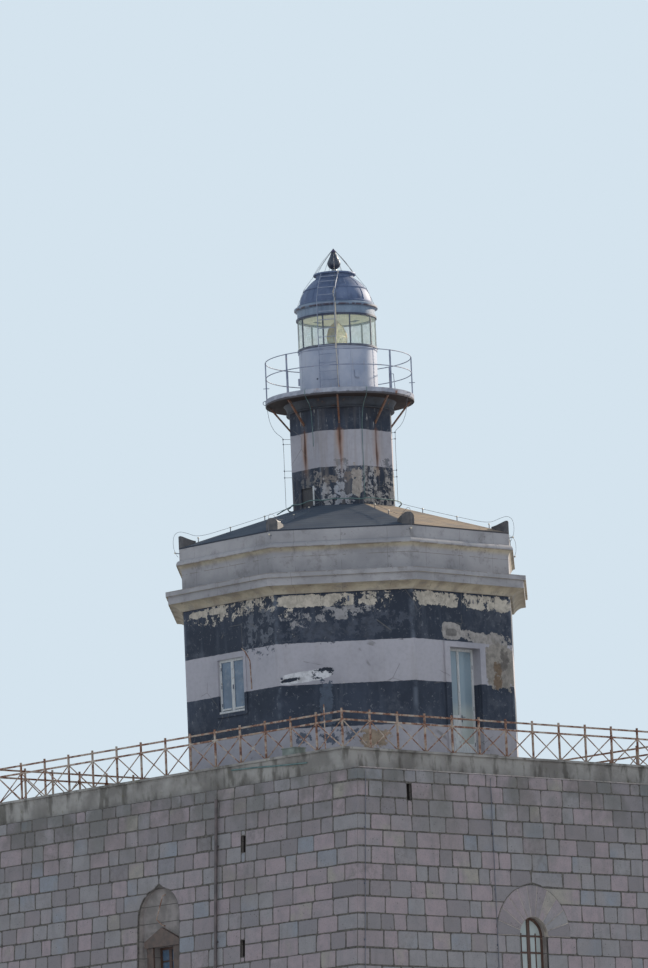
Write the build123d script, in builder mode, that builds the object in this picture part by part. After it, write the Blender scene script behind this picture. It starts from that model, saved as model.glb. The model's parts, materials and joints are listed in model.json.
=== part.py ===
from build123d import *
import os
from math import atan2, cos, degrees, hypot, radians, sin

# A harbour lighthouse: a square ashlar tower, an eight-sided keeper's house on its
# terrace, and an eight-sided shaft that carries the gallery and the lantern.
# Millimetres. The origin is on the ground at the middle of the tower, +Z is up,
# -Y is the front and +X is the right side.

os.makedirs("parts", exist_ok=True)

SIDES = 8                    # the house and the shaft are octagons
TURN = 360 / SIDES
FLAT = cos(radians(TURN / 2))       # distance to a side over distance to a corner
SEAT = 0.3                   # bedding joint where a round or loose piece is fitted

# Plan angles of the faces
FRONT, RIGHT, BACK, LEFT = -90, 0, 90, 180

# Stone tower
tower_width = 15900
tower_depth = 14800          # at the top; the front and back lean in
tower_height = 23770
tower_wall = 1200            # at the top; the inner faces are upright
batter = 0.06                # lean of the front and back
storeys = 3
storey_height = 8100
ground_floor = 150
floor_thickness = 300
first_sill = 1400            # sill of the lowest windows

# Windows in the front and back of the tower, each in a shallow arched niche
niche_width = 1700
niche_spring = 2900          # springing above the sill
niche_rise = 850
niche_depth = 130            # at the crown
slot_width = 820
slot_height = 2130
jamb_width = 260
jamb_proud = 60
hood_width = 1420
hood_height = 520
hood_eaves = 170             # height of the hood at its ends
hood_proud = 110

# Round-headed windows in the sides of the tower, under a fan of long dressed stones
arch_width = 1050
arch_spring = 1850           # springing above the sill
arch_shift = 1150            # off the middle, towards the front
band_width = 850             # length of the dressed stones
band_proud = 20
band_sunk = 120

# Holes left by the beams of the scaffold: across and up from the ground
putlog_width = 180
putlog_height = 450
putlog_depth = 350
putlogs_front = [(3430, 22175), (3420, 19355)]
putlogs_right = [(-5550, 23185)]

# Drainpipes down the front and back of the tower
pipe_radius = 42
pipe_place = 2400            # to the right of the middle
pipe_standoff = 70           # axis of the pipe before the face
pipe_top = 23500
pipe_foot = 200
bracket_width = 130
bracket_height = 50
bracket_spacing = 2700

# Joinery
frame_bar = 70
frame_depth = 60
mullion = 110
frame_setback = 200          # in the tower
glass_thickness = 8
entrance_width = 1300
entrance_height = 2500
entrance_setback = 400
entrance_band = 240
leaf_thickness = 60
leaf_border = 110            # plain border round the sunk panels of a leaf
leaf_panels = 3
panel_sunk = 18

# Terrace on top of the tower
terrace_setback = 100        # behind the front and back of the tower
terrace_band = 570
coping_height = 60
coping_overhang = 50
railing_inset = 200          # railing line behind the edge of the terrace band
railing_height = 1000
post_tip = 60                # posts above the top rail
railing_bays = 14
railing_bar = 45
mid_rail_drop = 240
brace_width = 30
brace_thickness = 12

# Keeper's house, an octagon
house_radius = 4930          # to the corners
house_wall = 450
house_height = 4930          # terrace to the underside of the cornice
house_floor = 420
window_width = 1050
window_sill = 1890
window_head = 3390
window_setback = 40
surround_width = 100
surround_proud = 30
door_width = 1150
door_setback = 250
door_panel_top = 1540        # of the half-glazed leaf, above the terrace
door_kick_top = 760          # of the glazed leaf, above the terrace
architrave_width = 200
architrave_head = 150
architrave_proud = 60
step_tread = 320
step_width = 1700

# Cornice, attic and roof of the house
cornice_height = 550
cornice_reach = 462
cornice_foot = 60
cornice_cove = 200           # height of the hollow under the corona
cove_radius = 420
corona_reach = 400
corona_drip = 50
fillet_height = 130
attic_height = 1210
attic_fascia = 45            # upper face of the attic, before the lower one
attic_roll_foot = 740        # above the foot of the attic
attic_roll_height = 150
attic_roll_reach = 140
attic_roll_radius = 130
attic_cove_height = 250      # hollow under the roll
attic_cove_reach = 115
attic_cove_radius = 260
eave_reach = 50
eave_height = 40
roof_rise = 1090
roof_thickness = 200
block_width = 350
block_height = 340
block_crown = 110            # rise of the arched top
block_length = 450
block_round = 50
block_tail = 40              # thickness left at the back

# Shaft
shaft_radius = 1535          # to the corners
shaft_bore = 950             # radius of the round well inside
shaft_height = 10560         # above the terrace
hatch_width = 480
hatch_height = 520
hatch_sill = 7860            # above the terrace
hatch_setback = 40
hatch_thickness = 50
shaft_door_width = 800
shaft_door_height = 2000

# Gallery
neck_radius = 1500
neck_height = 290
neck_bead = 30
neck_flare = 90              # the neck widens in a hollow curve under the slab
gallery_radius = 2100
gallery_thickness = 190
gallery_edge = 10
strut_drop = 730
strut_top_radius = 2000
strut_bar = 50
gallery_rail_inset = 45      # railing line behind the rim
gallery_post = 36
post_turn = 1.9              # the posts stand a little round from the struts
gallery_rail_height = 1100
gallery_mid_height = 640
gallery_rail_bar = 26

# Lantern
drum_radius = 1100
drum_wall = 60
drum_height = 1350
drum_door_width = 620
drum_door_height = 1150
drum_door_foot = 80
drum_door_angle = 135
sill_radius = 1130
sill_height = 50
glass_radius = 1105
glass_height = 830
pane_count = 9
pane_bar = 32
pane_bar_depth = 36
pane_bar_proud = 15
first_pane_bar = -63.4       # plan angle of one glazing bar
entablature_inner = 990
foot_ring_radius = 1140
foot_ring_height = 50
frieze_height = 200
gutter_radius = 1180
gutter_cove = 40
gutter_height = 60
entablature_cap = 70
ceiling_lift = 30            # above the foot of the entablature
ceiling_thickness = 15

# Dome, its vent and its finial
dome_foot_radius = 1030
dome_middle_radius = 980
dome_middle_height = 240
dome_seam_radius = 855
dome_seam_height = 460
dome_upper_radius = 710
dome_upper_height = 630
dome_top_radius = 535
dome_height = 760
dome_shell = 15
collar_height = 110
collar_wall = 25
lid_radius = 585
lid_height = 80
finial_foot = 150
finial_flare = 110
finial_neck = 70
finial_ball = 186
finial_ball_height = 285
finial_shoulder = 140        # radius where the ball turns into the spire
finial_shoulder_rise = 105   # above the middle of the ball
finial_spire = 62
finial_cap = 92
finial_cap_height = 110
finial_height = 710

# Ladder from the gallery to the top of the dome
ladder_angle = -56.4
ladder_width = 500
ladder_line = 1250           # distance of the upright part from the axis
ladder_bend_height = 2680    # top of the upright part above the gallery
ladder_standoff = 90         # from the sheet of the dome
stile_width = 40
stile_thickness = 14
rung_radius = 11
rung_spacing = 250

# Revolving lens and its pedestal
pedestal_radius = 150
pedestal_foot = 230
pedestal_foot_height = 30
table_radius = 300
table_thickness = 40
table_height = 1130          # above the gallery floor
turntable_gap = 6            # between the table and the turntable
race_radius = 150
race_width = 30
turntable_radius = 270
turntable_thickness = 30
pivot_radius = 45
lens_foot_height = 50
lens_foot_width = 120
lens_width = 610
lens_height = 990
lens_bulge = 190             # from the mid plane to the front of the bull's-eye
lens_edge = 26               # half depth of the glass at its points
lens_rim = 28
lens_rim_proud = 4
lens_glass = 20
bullseye_radius = 90
bullseye_rise = 22
prism_rings = 6
prism_step = 14
lens_angle = 10              # plan angle that one bull's-eye faces at rest

# Levels worked out from the sizes above
terrace_z = tower_height + terrace_band + coping_height
terrace_half = tower_depth / 2 - terrace_setback
railing_line = terrace_half - railing_inset
inner_x = tower_width / 2 - tower_wall
inner_y = tower_depth / 2 - tower_wall
house_flat = house_radius * FLAT
house_inner_flat = house_flat - house_wall
cornice_z = terrace_z + house_height
attic_z = cornice_z + cornice_height
eave_z = attic_z + attic_height
shaft_flat = shaft_radius * FLAT
shaft_top_z = terrace_z + shaft_height
gallery_under_z = shaft_top_z + neck_height
gallery_z = gallery_under_z + gallery_thickness
sill_z = gallery_z + drum_height
glass_z = sill_z + sill_height
entablature_z = glass_z + glass_height
frieze_z = entablature_z + foot_ring_height
gutter_z = frieze_z + frieze_height
dome_z = gutter_z + gutter_cove + gutter_height + entablature_cap
collar_z = dome_z + dome_height
lid_z = collar_z + collar_height
finial_z = lid_z + lid_height
table_z = gallery_z + table_height
turntable_z = table_z + turntable_gap
lens_z = turntable_z + turntable_thickness + lens_foot_height + lens_height / 2


def write(piece, name):
    """Label a finished piece and write it as its own file."""
    piece.part.label = name
    export_step(piece.part, f"parts/{name}.step")


def facing(angle, distance):
    """Upright plane that looks outwards at a plan angle: x to the viewer's right, y up."""
    east, north = cos(radians(angle)), sin(radians(angle))
    return Plane(
        origin=(distance * east, distance * north, 0),
        x_dir=(-north, east, 0),
        z_dir=(east, north, 0),
    )


def leaning_face(z):
    """Distance of the front of the tower from the axis at a height."""
    return tower_depth / 2 + batter * (tower_height - z)


def rectangle_section(inner, outer, foot, height):
    """A plain rectangle on the XZ plane, between two distances from the axis."""
    with BuildSketch(Plane.XZ) as section:
        with Locations(((inner + outer) / 2, foot + height / 2)):
            Rectangle(outer - inner, height)
    return section


def octagon_side(section, foot, height):
    """The right-hand side of an octagon ring, cut by the planes through its corners."""
    reach = 2 * house_radius
    half = reach * sin(radians(TURN / 2))
    with BuildPart() as side:
        extrude(section.sketch, amount=house_radius, both=True)
        with BuildSketch(Plane.XY.offset(foot)):
            with BuildLine():
                Polyline((0, 0), (reach * FLAT, half), (reach * FLAT, -half), close=True)
            make_face()
        extrude(amount=height, mode=Mode.INTERSECT)
    return side


def octagon_ring(section, foot, height):
    """Run a section, drawn on the XZ plane, round the eight sides with mitred corners."""
    side = octagon_side(section, foot, height)
    with BuildPart() as whole:
        with PolarLocations(0, SIDES):
            add(side.part)
    return whole


def arched(width, height, rise):
    """The outline of an opening: upright sides on the origin's level, closed by an arch."""
    with BuildSketch() as outline:
        with BuildLine():
            Polyline((-width / 2, height), (-width / 2, 0), (width / 2, 0), (width / 2, height))
            ThreePointArc((width / 2, height), (0, height + rise), (-width / 2, height))
        make_face()
    return outline.sketch


def slot_outline(inset):
    """A square-headed tower window on its sill, drawn in from its opening all round."""
    with BuildSketch() as outline:
        with Locations((0, slot_height / 2)):
            Rectangle(slot_width - 2 * inset, slot_height - 2 * inset)
    return outline.sketch


def arch_outline(inset):
    """A round-headed tower window on its sill, drawn in from its opening all round."""
    with BuildSketch() as outline:
        with Locations((0, inset)):
            add(arched(arch_width - 2 * inset, arch_spring - inset, arch_width / 2 - inset))
    return outline.sketch


def voussoir_outline(inset):
    """The half ring of dressed stones over a round-headed window, drawn in at its rim."""
    reach = arch_width / 2 + band_width
    with BuildSketch() as outline:
        with Locations((0, arch_spring)):
            Circle(reach - inset)
            Circle(arch_width / 2, mode=Mode.SUBTRACT)
        with Locations((0, arch_spring - reach / 2 + inset)):
            Rectangle(2 * reach, reach, mode=Mode.SUBTRACT)
    return outline.sketch


def house_outline(inset):
    """A window of the house on its sill, drawn in from its opening all round."""
    with BuildSketch() as outline:
        with Locations((0, window_height / 2)):
            Rectangle(window_width - 2 * inset, window_height - 2 * inset)
    return outline.sketch


# Where the openings of the tower are
niche_crown = niche_spring + niche_rise
arch_height = arch_spring + arch_width / 2
row_sills = [first_sill + k * storey_height for k in range(storeys)]
front_rows = {FRONT: row_sills, BACK: row_sills[1:]}
side_shift = {RIGHT: -arch_shift, LEFT: arch_shift}
entrance_head = ground_floor + entrance_height
entrance_band_top = entrance_head + entrance_band
entrance_plane = leaning_face(entrance_head) - entrance_setback
entrance_band_plane = leaning_face(entrance_band_top) - band_sunk


def niche_plane(sill):
    """Distance from the axis of the upright back of a niche."""
    return leaning_face(sill + niche_crown) - niche_depth


def entrance_band_outline():
    """The dressed surround of the entrance: two jambs and a lintel."""
    with BuildSketch() as outline:
        with Locations((0, entrance_band_top / 2)):
            Rectangle(entrance_width + 2 * entrance_band, entrance_band_top)
        with Locations((0, entrance_head / 2)):
            Rectangle(entrance_width, entrance_head, mode=Mode.SUBTRACT)
    return outline.sketch


# Front and back walls of the tower, which run the full width
for angle, name in ((FRONT, "stone_wall_front"), (BACK, "stone_wall_back")):
    outwards = 1 if angle == BACK else -1
    with BuildPart() as wall:
        with BuildSketch(Plane.YZ):
            with BuildLine():
                Polyline(
                    (outwards * inner_y, 0),
                    (outwards * leaning_face(0), 0),
                    (outwards * leaning_face(tower_height), tower_height),
                    (outwards * inner_y, tower_height),
                    close=True,
                )
            make_face()
        extrude(amount=tower_width / 2, both=True)
        for sill in front_rows[angle]:
            with BuildSketch(facing(angle, niche_plane(sill))):
                with Locations((0, sill)):
                    add(arched(niche_width, niche_spring, niche_rise))
            extrude(amount=tower_depth, mode=Mode.SUBTRACT)
            with BuildSketch(facing(angle, 0)):
                with Locations((0, sill)):
                    add(slot_outline(0))
            extrude(amount=tower_depth, mode=Mode.SUBTRACT)
        if angle == FRONT:
            with BuildSketch(facing(angle, leaning_face(tower_height) - putlog_depth)):
                with Locations(*putlogs_front):
                    Rectangle(putlog_width, putlog_height)
            extrude(amount=tower_depth, mode=Mode.SUBTRACT)
        else:
            with BuildSketch(facing(angle, 0)):
                with Locations((0, ground_floor + entrance_height / 2)):
                    Rectangle(entrance_width, entrance_height)
            extrude(amount=tower_depth, mode=Mode.SUBTRACT)
            with BuildSketch(facing(angle, entrance_band_plane)):
                add(entrance_band_outline())
            extrude(amount=tower_depth, mode=Mode.SUBTRACT)
    write(wall, name)

# Side walls of the tower, between the front and back walls
for angle, name in ((RIGHT, "stone_wall_right"), (LEFT, "stone_wall_left")):
    with BuildPart() as wall:
        with BuildSketch(facing(angle, inner_x)):
            with Locations((0, tower_height / 2)):
                Rectangle(2 * inner_y, tower_height)
        extrude(amount=tower_wall)
        for sill in row_sills:
            with BuildSketch(facing(angle, inner_x)):
                with Locations((side_shift[angle], sill)):
                    add(arch_outline(0))
            extrude(amount=tower_wall, mode=Mode.SUBTRACT)
            with BuildSketch(facing(angle, tower_width / 2 - band_sunk)):
                with Locations((side_shift[angle], sill)):
                    add(voussoir_outline(0))
            extrude(amount=band_sunk, mode=Mode.SUBTRACT)
        if angle == RIGHT:
            with BuildSketch(facing(angle, tower_width / 2 - putlog_depth)):
                with Locations(*putlogs_right):
                    Rectangle(putlog_width, putlog_height)
            extrude(amount=putlog_depth, mode=Mode.SUBTRACT)
    write(wall, name)

# Floors of the storeys, from wall to wall
with BuildPart() as floors:
    with Locations((0, 0, ground_floor / 2)):
        Box(2 * inner_x, 2 * inner_y, ground_floor)
    for k in range(1, storeys):
        with Locations((0, 0, k * storey_height - floor_thickness / 2)):
            Box(2 * inner_x, 2 * inner_y, floor_thickness)
write(floors, "storey_floors")

# Dressed stone round the openings of the tower
with BuildPart() as bands:
    for angle, shift in side_shift.items():
        for sill in row_sills:
            with BuildSketch(facing(angle, tower_width / 2 - band_sunk)):
                with Locations((shift, sill)):
                    add(voussoir_outline(SEAT))
            extrude(amount=band_sunk + band_proud)
write(bands, "window_arch_bands")

with BuildPart() as hoods:
    for angle, sills in front_rows.items():
        for sill in sills:
            hood_z = sill + slot_height
            with BuildSketch(facing(angle, niche_plane(sill))):
                with Locations((0, sill + slot_height / 2)):
                    with GridLocations(slot_width + jamb_width, 0, 2, 1):
                        Rectangle(jamb_width, slot_height)
            extrude(amount=jamb_proud)
            with BuildSketch(facing(angle, niche_plane(sill))):
                with BuildLine():
                    Polyline(
                        (-hood_width / 2, hood_z),
                        (hood_width / 2, hood_z),
                        (hood_width / 2, hood_z + hood_eaves),
                        (0, hood_z + hood_height),
                        (-hood_width / 2, hood_z + hood_eaves),
                        close=True,
                    )
                make_face()
            extrude(amount=hood_proud)
write(hoods, "window_hoods")

entrance_lean = batter * entrance_band_top
with BuildPart() as entrance_surround:
    with BuildSketch(facing(BACK, entrance_band_plane)):
        add(entrance_band_outline())
    extrude(amount=band_sunk + entrance_lean)
write(entrance_surround, "entrance_surround")

panel_pitch = (entrance_height - leaf_border) / leaf_panels
panel_width = entrance_width / 2 - 2 * leaf_border
with BuildPart() as entrance_door:
    with BuildSketch(facing(BACK, entrance_plane - leaf_thickness)):
        with Locations((0, ground_floor + entrance_height / 2)):
            Rectangle(entrance_width, entrance_height)
    extrude(amount=leaf_thickness)
    with BuildSketch(facing(BACK, entrance_plane - panel_sunk)):
        with Locations((0, ground_floor + entrance_height / 2)):
            with GridLocations(entrance_width / 2, panel_pitch, 2, leaf_panels):
                Rectangle(panel_width, panel_pitch - leaf_border)
    extrude(amount=panel_sunk, mode=Mode.SUBTRACT)
write(entrance_door, "entrance_door")

# Each window: plan angle, back of its frame, outline, height, and its sill on the face
window_height = window_head - window_sill
side_back = tower_width / 2 - frame_setback - frame_depth
house_back = house_flat - window_setback - frame_depth
tower_windows = [
    (angle, niche_plane(sill) - frame_setback - frame_depth, slot_outline, slot_height, (0, sill))
    for angle, sills in front_rows.items()
    for sill in sills
] + [
    (angle, side_back, arch_outline, arch_height, (shift, sill))
    for angle, shift in side_shift.items()
    for sill in row_sills
]
house_windows = [
    (angle, house_back, house_outline, window_height, (0, terrace_z + window_sill))
    for angle in (FRONT, BACK, LEFT)
]


def two_leaf_frames(windows):
    """Frames with the meeting stiles of two leaves down the middle."""
    with BuildPart() as frames:
        for angle, back, outline, height, (shift, sill) in windows:
            with BuildSketch(facing(angle, back)):
                with Locations((shift, sill)):
                    add(outline(SEAT))
                    add(outline(frame_bar), mode=Mode.SUBTRACT)
                with Locations((shift, sill + height / 2)):
                    Rectangle(mullion, height - 2 * SEAT - frame_bar)
            extrude(amount=frame_depth)
    return frames


def two_leaf_glass(windows):
    """One sheet of glass in each leaf, in the middle of the frame's depth."""
    with BuildPart() as glass:
        for angle, back, outline, height, (shift, sill) in windows:
            with BuildSketch(facing(angle, back + (frame_depth - glass_thickness) / 2)):
                with Locations((shift, sill)):
                    add(outline(frame_bar + SEAT))
                with Locations((shift, sill + height / 2)):
                    Rectangle(mullion + 2 * SEAT, height, mode=Mode.SUBTRACT)
            extrude(amount=glass_thickness)
    return glass


write(two_leaf_frames(tower_windows), "tower_window_frames")
write(two_leaf_glass(tower_windows), "tower_window_glass")

# Drainpipes down the front and back, on brackets that stand on the leaning faces
pipe_length = (pipe_top - pipe_foot) * hypot(1, batter)
brackets = round(pipe_length / bracket_spacing)
with BuildPart() as pipes:
    for out in (-1, 1):
        pipe_face = Plane(
            origin=(-out * pipe_place, out * leaning_face(pipe_foot), pipe_foot),
            x_dir=(-out, 0, 0),
            z_dir=(0, out, batter),
        )
        pipe_section = Plane(
            origin=pipe_face.from_local_coords((0, 0, pipe_standoff)),
            x_dir=(-out, 0, 0),
            z_dir=(0, -out * batter, 1),
        )
        with BuildSketch(pipe_section):
            Circle(pipe_radius)
        extrude(amount=pipe_length)
        with BuildSketch(pipe_face):
            with Locations((0, pipe_length / 2)):
                with GridLocations(0, pipe_length / brackets, 1, brackets):
                    Rectangle(bracket_width, bracket_height)
        extrude(amount=pipe_standoff)
write(pipes, "drainpipes")

# Terrace: the fill over the vault behind a rendered band, with a thin coping at its edge
coping_half = terrace_half + coping_overhang
with BuildPart() as terrace:
    with Locations((0, 0, tower_height + terrace_band / 2)):
        Box(2 * terrace_half, 2 * terrace_half, terrace_band)
    with Locations((0, 0, terrace_z - coping_height / 2)):
        Box(2 * coping_half, 2 * coping_half, coping_height)
write(terrace, "terrace_slab")

# Railing round the terrace: posts, two rails and crossed flat braces in every bay
bay = 2 * railing_line / railing_bays
brace_rise = railing_height - mid_rail_drop
brace_length = hypot(bay, brace_rise)
brace_angle = degrees(atan2(brace_rise, bay))
for angle, name in (
    (FRONT, "terrace_railing_front"),
    (RIGHT, "terrace_railing_right"),
    (BACK, "terrace_railing_back"),
    (LEFT, "terrace_railing_left"),
):
    has_corner_posts = angle in (FRONT, BACK)
    posts = railing_bays + (1 if has_corner_posts else -1)
    rail_length = 2 * railing_line + (railing_bar if has_corner_posts else -railing_bar)
    with BuildPart() as panel:
        with BuildSketch(facing(angle, railing_line - railing_bar / 2)):
            with Locations((0, terrace_z + (railing_height + post_tip) / 2)):
                with GridLocations(bay, 0, posts, 1):
                    Rectangle(railing_bar, railing_height + post_tip)
            with Locations(
                (0, terrace_z + railing_height - railing_bar / 2),
                (0, terrace_z + brace_rise),
            ):
                Rectangle(rail_length, railing_bar)
        extrude(amount=railing_bar)
        with BuildSketch(facing(angle, railing_line - brace_thickness / 2)):
            with Locations((0, terrace_z + brace_rise / 2)):
                with GridLocations(bay, 0, railing_bays, 1):
                    Rectangle(brace_length, brace_width, rotation=brace_angle)
                    Rectangle(brace_length, brace_width, rotation=-brace_angle)
            with Locations((0, terrace_z + railing_height / 2)):
                Rectangle(rail_length, railing_height, mode=Mode.INTERSECT)
        extrude(amount=brace_thickness)
    write(panel, name)

# Keeper's house: three walls with a window, one with the door, and four blank ones
house_section = rectangle_section(house_inner_flat, house_flat, terrace_z, house_height)
plain_side = octagon_side(house_section, terrace_z, house_height)
door_height = window_head - house_floor

for angle, name in (
    (FRONT, "house_wall_front"),
    (BACK, "house_wall_back"),
    (LEFT, "house_wall_left"),
):
    with BuildPart() as wall:
        add(plain_side.part, rotation=(0, 0, angle))
        with BuildSketch(facing(angle, house_inner_flat)):
            with Locations((0, terrace_z + window_sill)):
                add(house_outline(0))
        extrude(amount=house_wall, mode=Mode.SUBTRACT)
    write(wall, name)

with BuildPart() as door_wall:
    add(plain_side.part, rotation=(0, 0, RIGHT))
    with BuildSketch(facing(RIGHT, house_inner_flat)):
        with Locations((0, terrace_z + house_floor + door_height / 2)):
            Rectangle(door_width, door_height)
    extrude(amount=house_wall, mode=Mode.SUBTRACT)
write(door_wall, "house_wall_right")

with BuildPart() as diagonal_walls:
    with PolarLocations(0, SIDES // 2, start_angle=TURN):
        add(plain_side.part)
write(diagonal_walls, "house_walls_diagonal")

floor_section = rectangle_section(shaft_flat, house_inner_flat, terrace_z, house_floor)
write(octagon_ring(floor_section, terrace_z, house_floor), "house_floor")

write(two_leaf_frames(house_windows), "house_window_frames")

with BuildPart() as surrounds:
    for angle, _, outline, _, place in house_windows:
        with BuildSketch(facing(angle, house_flat)):
            with Locations(place):
                add(outline(-surround_width))
                add(outline(0), mode=Mode.SUBTRACT)
        extrude(amount=surround_proud)
write(surrounds, "house_window_surrounds")

# Door of the house: a half-glazed and a glazed leaf, an architrave and two steps
door_light_width = (door_width - 3 * frame_bar) / 2
door_light_place = (door_light_width + frame_bar) / 2
door_back = house_flat - door_setback - frame_depth


def door_lights(inset):
    """The lights of the two leaves, each drawn in from its edges."""
    with BuildSketch() as lights:
        for side, foot in ((-1, door_panel_top), (1, door_kick_top)):
            height = window_head - frame_bar - foot
            with Locations((side * door_light_place, terrace_z + foot + height / 2)):
                Rectangle(door_light_width - 2 * inset, height - 2 * inset)
    return lights.sketch


with BuildPart() as door:
    with BuildSketch(facing(RIGHT, door_back)):
        with Locations((0, terrace_z + house_floor + door_height / 2)):
            Rectangle(door_width - 2 * SEAT, door_height)
        add(door_lights(0), mode=Mode.SUBTRACT)
    extrude(amount=frame_depth)
write(door, "terrace_door")

with BuildPart() as house_glass:
    add(two_leaf_glass(house_windows).part)
    with BuildSketch(facing(RIGHT, door_back + (frame_depth - glass_thickness) / 2)):
        add(door_lights(SEAT))
    extrude(amount=glass_thickness)
write(house_glass, "house_window_glass")

with BuildPart() as architrave:
    with BuildSketch(facing(RIGHT, house_flat)):
        with Locations((0, terrace_z + house_floor + (door_height + architrave_head) / 2)):
            Rectangle(door_width + 2 * architrave_width, door_height + architrave_head)
        with Locations((0, terrace_z + house_floor + door_height / 2)):
            Rectangle(door_width, door_height, mode=Mode.SUBTRACT)
    extrude(amount=architrave_proud)
write(architrave, "door_architrave")

with BuildPart() as steps:
    with BuildSketch(Plane.XZ):
        with BuildLine():
            Polyline(
                (house_flat, terrace_z),
                (house_flat + 2 * step_tread, terrace_z),
                (house_flat + 2 * step_tread, terrace_z + house_floor / 2),
                (house_flat + step_tread, terrace_z + house_floor / 2),
                (house_flat + step_tread, terrace_z + house_floor),
                (house_flat, terrace_z + house_floor),
                close=True,
            )
        make_face()
    extrude(amount=step_width / 2, both=True)
write(steps, "door_steps")

# Cornice, attic with its half-round band, and the eight-sided roof round the shaft
cove_foot = (house_flat + cornice_foot, cornice_z)
cove_lip = (house_flat + corona_reach - corona_drip, cornice_z + cornice_cove)
fillet_z = cornice_z + cornice_height - fillet_height
with BuildSketch(Plane.XZ) as cornice_section:
    with BuildLine():
        Polyline(
            cove_lip,
            (house_flat + corona_reach, cornice_z + cornice_cove),
            (house_flat + corona_reach, fillet_z),
            (house_flat + cornice_reach, fillet_z),
            (house_flat + cornice_reach, attic_z),
            (house_inner_flat, attic_z),
            (house_inner_flat, cornice_z),
            cove_foot,
        )
        RadiusArc(cove_foot, cove_lip, cove_radius)
    make_face()
write(octagon_ring(cornice_section, cornice_z, cornice_height), "cornice")

roll_foot_z = attic_z + attic_roll_foot
attic_cove_foot = (house_flat, roll_foot_z - attic_cove_height)
attic_cove_lip = (house_flat + attic_cove_reach, roll_foot_z)
roll_foot = (house_flat + attic_roll_reach, roll_foot_z)
roll_top = (house_flat + attic_fascia, roll_foot_z + attic_roll_height)
with BuildSketch(Plane.XZ) as attic_section:
    with BuildLine():
        Polyline(attic_cove_lip, roll_foot)
        RadiusArc(roll_foot, roll_top, -attic_roll_radius)
        Polyline(
            roll_top,
            (house_flat + attic_fascia, eave_z),
            (house_inner_flat, eave_z),
            (house_inner_flat, attic_z),
            (house_flat, attic_z),
            attic_cove_foot,
        )
        RadiusArc(attic_cove_foot, attic_cove_lip, attic_cove_radius)
    make_face()
write(octagon_ring(attic_section, attic_z, attic_height), "attic")

eave_flat = house_flat + eave_reach
eave_radius = eave_flat / FLAT
roof_foot_z = eave_z + eave_height
roof_top_z = roof_foot_z + roof_rise
roof_slope = roof_rise / (eave_flat - shaft_flat)
roof_seat_flat = eave_flat - (roof_thickness - eave_height) / roof_slope
with BuildSketch(Plane.XZ) as roof_section:
    with BuildLine():
        Polyline(
            (eave_flat, eave_z),
            (eave_flat, roof_foot_z),
            (shaft_flat, roof_top_z),
            (shaft_flat, roof_top_z - roof_thickness),
            (roof_seat_flat, eave_z),
            close=True,
        )
    make_face()
roof = octagon_ring(roof_section, eave_z, roof_top_z - eave_z)
write(roof, "roof")

# Corner blocks: rounded in front, falling in a hollow curve to the hip behind
block_back = eave_radius - block_length
block_back_z = roof_foot_z + roof_slope * FLAT * block_length + block_tail
block_top = (eave_radius - block_round, roof_foot_z + block_height)
with BuildPart() as block:
    with BuildSketch(Plane.XZ):
        with BuildLine():
            Polyline(
                (block_back, block_back_z),
                (block_back, roof_foot_z),
                (eave_radius, roof_foot_z),
                (eave_radius, roof_foot_z + block_height - block_round),
            )
            RadiusArc(
                (eave_radius, roof_foot_z + block_height - block_round),
                block_top,
                -block_round,
            )
            RadiusArc(block_top, (block_back, block_back_z), 2 * block_length)
        make_face()
    extrude(amount=block_width / 2, both=True)
    with BuildSketch(facing(0, eave_radius)):
        with Locations((0, roof_foot_z)):
            add(arched(block_width, block_height - block_crown, block_crown))
    extrude(amount=-2 * block_length, mode=Mode.INTERSECT)
with BuildPart() as blocks:
    with PolarLocations(0, SIDES, start_angle=TURN / 2):
        add(block.part)
    with BuildSketch(Plane.XY.offset(roof_foot_z)):
        RegularPolygon(eave_radius, SIDES, rotation=TURN / 2)
    extrude(amount=block_height, mode=Mode.INTERSECT)
    add(roof.part, mode=Mode.SUBTRACT)
write(blocks, "corner_blocks")

# Shaft: eight sides outside and a round well inside
with BuildPart() as shaft:
    with BuildSketch(Plane.XY.offset(terrace_z)):
        RegularPolygon(shaft_radius, SIDES, rotation=TURN / 2)
        Circle(shaft_bore, mode=Mode.SUBTRACT)
    extrude(amount=shaft_height)
    with BuildSketch(facing(FRONT, 0)):
        with Locations((0, terrace_z + hatch_sill + hatch_height / 2)):
            Rectangle(hatch_width, hatch_height)
    extrude(amount=shaft_radius, mode=Mode.SUBTRACT)
    with BuildSketch(facing(RIGHT, 0)):
        with Locations((0, terrace_z + house_floor + shaft_door_height / 2)):
            Rectangle(shaft_door_width, shaft_door_height)
    extrude(amount=shaft_radius, mode=Mode.SUBTRACT)
write(shaft, "shaft_wall")

with BuildPart() as hatch:
    with BuildSketch(facing(FRONT, shaft_flat - hatch_setback - hatch_thickness)):
        with Locations((0, terrace_z + hatch_sill + hatch_height / 2)):
            Rectangle(hatch_width, hatch_height)
    extrude(amount=hatch_thickness)
write(hatch, "shaft_hatch")

# Gallery: a beaded and flared neck, the slab, raking struts and a ring of railing
neck_foot = (neck_radius, shaft_top_z + 2 * neck_bead)
neck_top = (neck_radius + neck_flare, gallery_under_z)
with BuildPart() as neck:
    with BuildSketch(Plane.XZ):
        with BuildLine():
            Polyline(
                neck_top,
                (shaft_bore, gallery_under_z),
                (shaft_bore, shaft_top_z),
                (neck_radius, shaft_top_z),
                neck_foot,
            )
            RadiusArc(neck_foot, neck_top, neck_height)
        make_face()
        with Locations((neck_radius, shaft_top_z + neck_bead)):
            Circle(neck_bead)
    revolve(axis=Axis.Z)
write(neck, "gallery_neck")

with BuildPart() as gallery:
    with Locations((0, 0, gallery_under_z + gallery_thickness / 2)):
        Cylinder(gallery_radius, gallery_thickness)
    chamfer(gallery.edges().filter_by(GeomType.CIRCLE), gallery_edge)
write(gallery, "gallery_slab")

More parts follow.
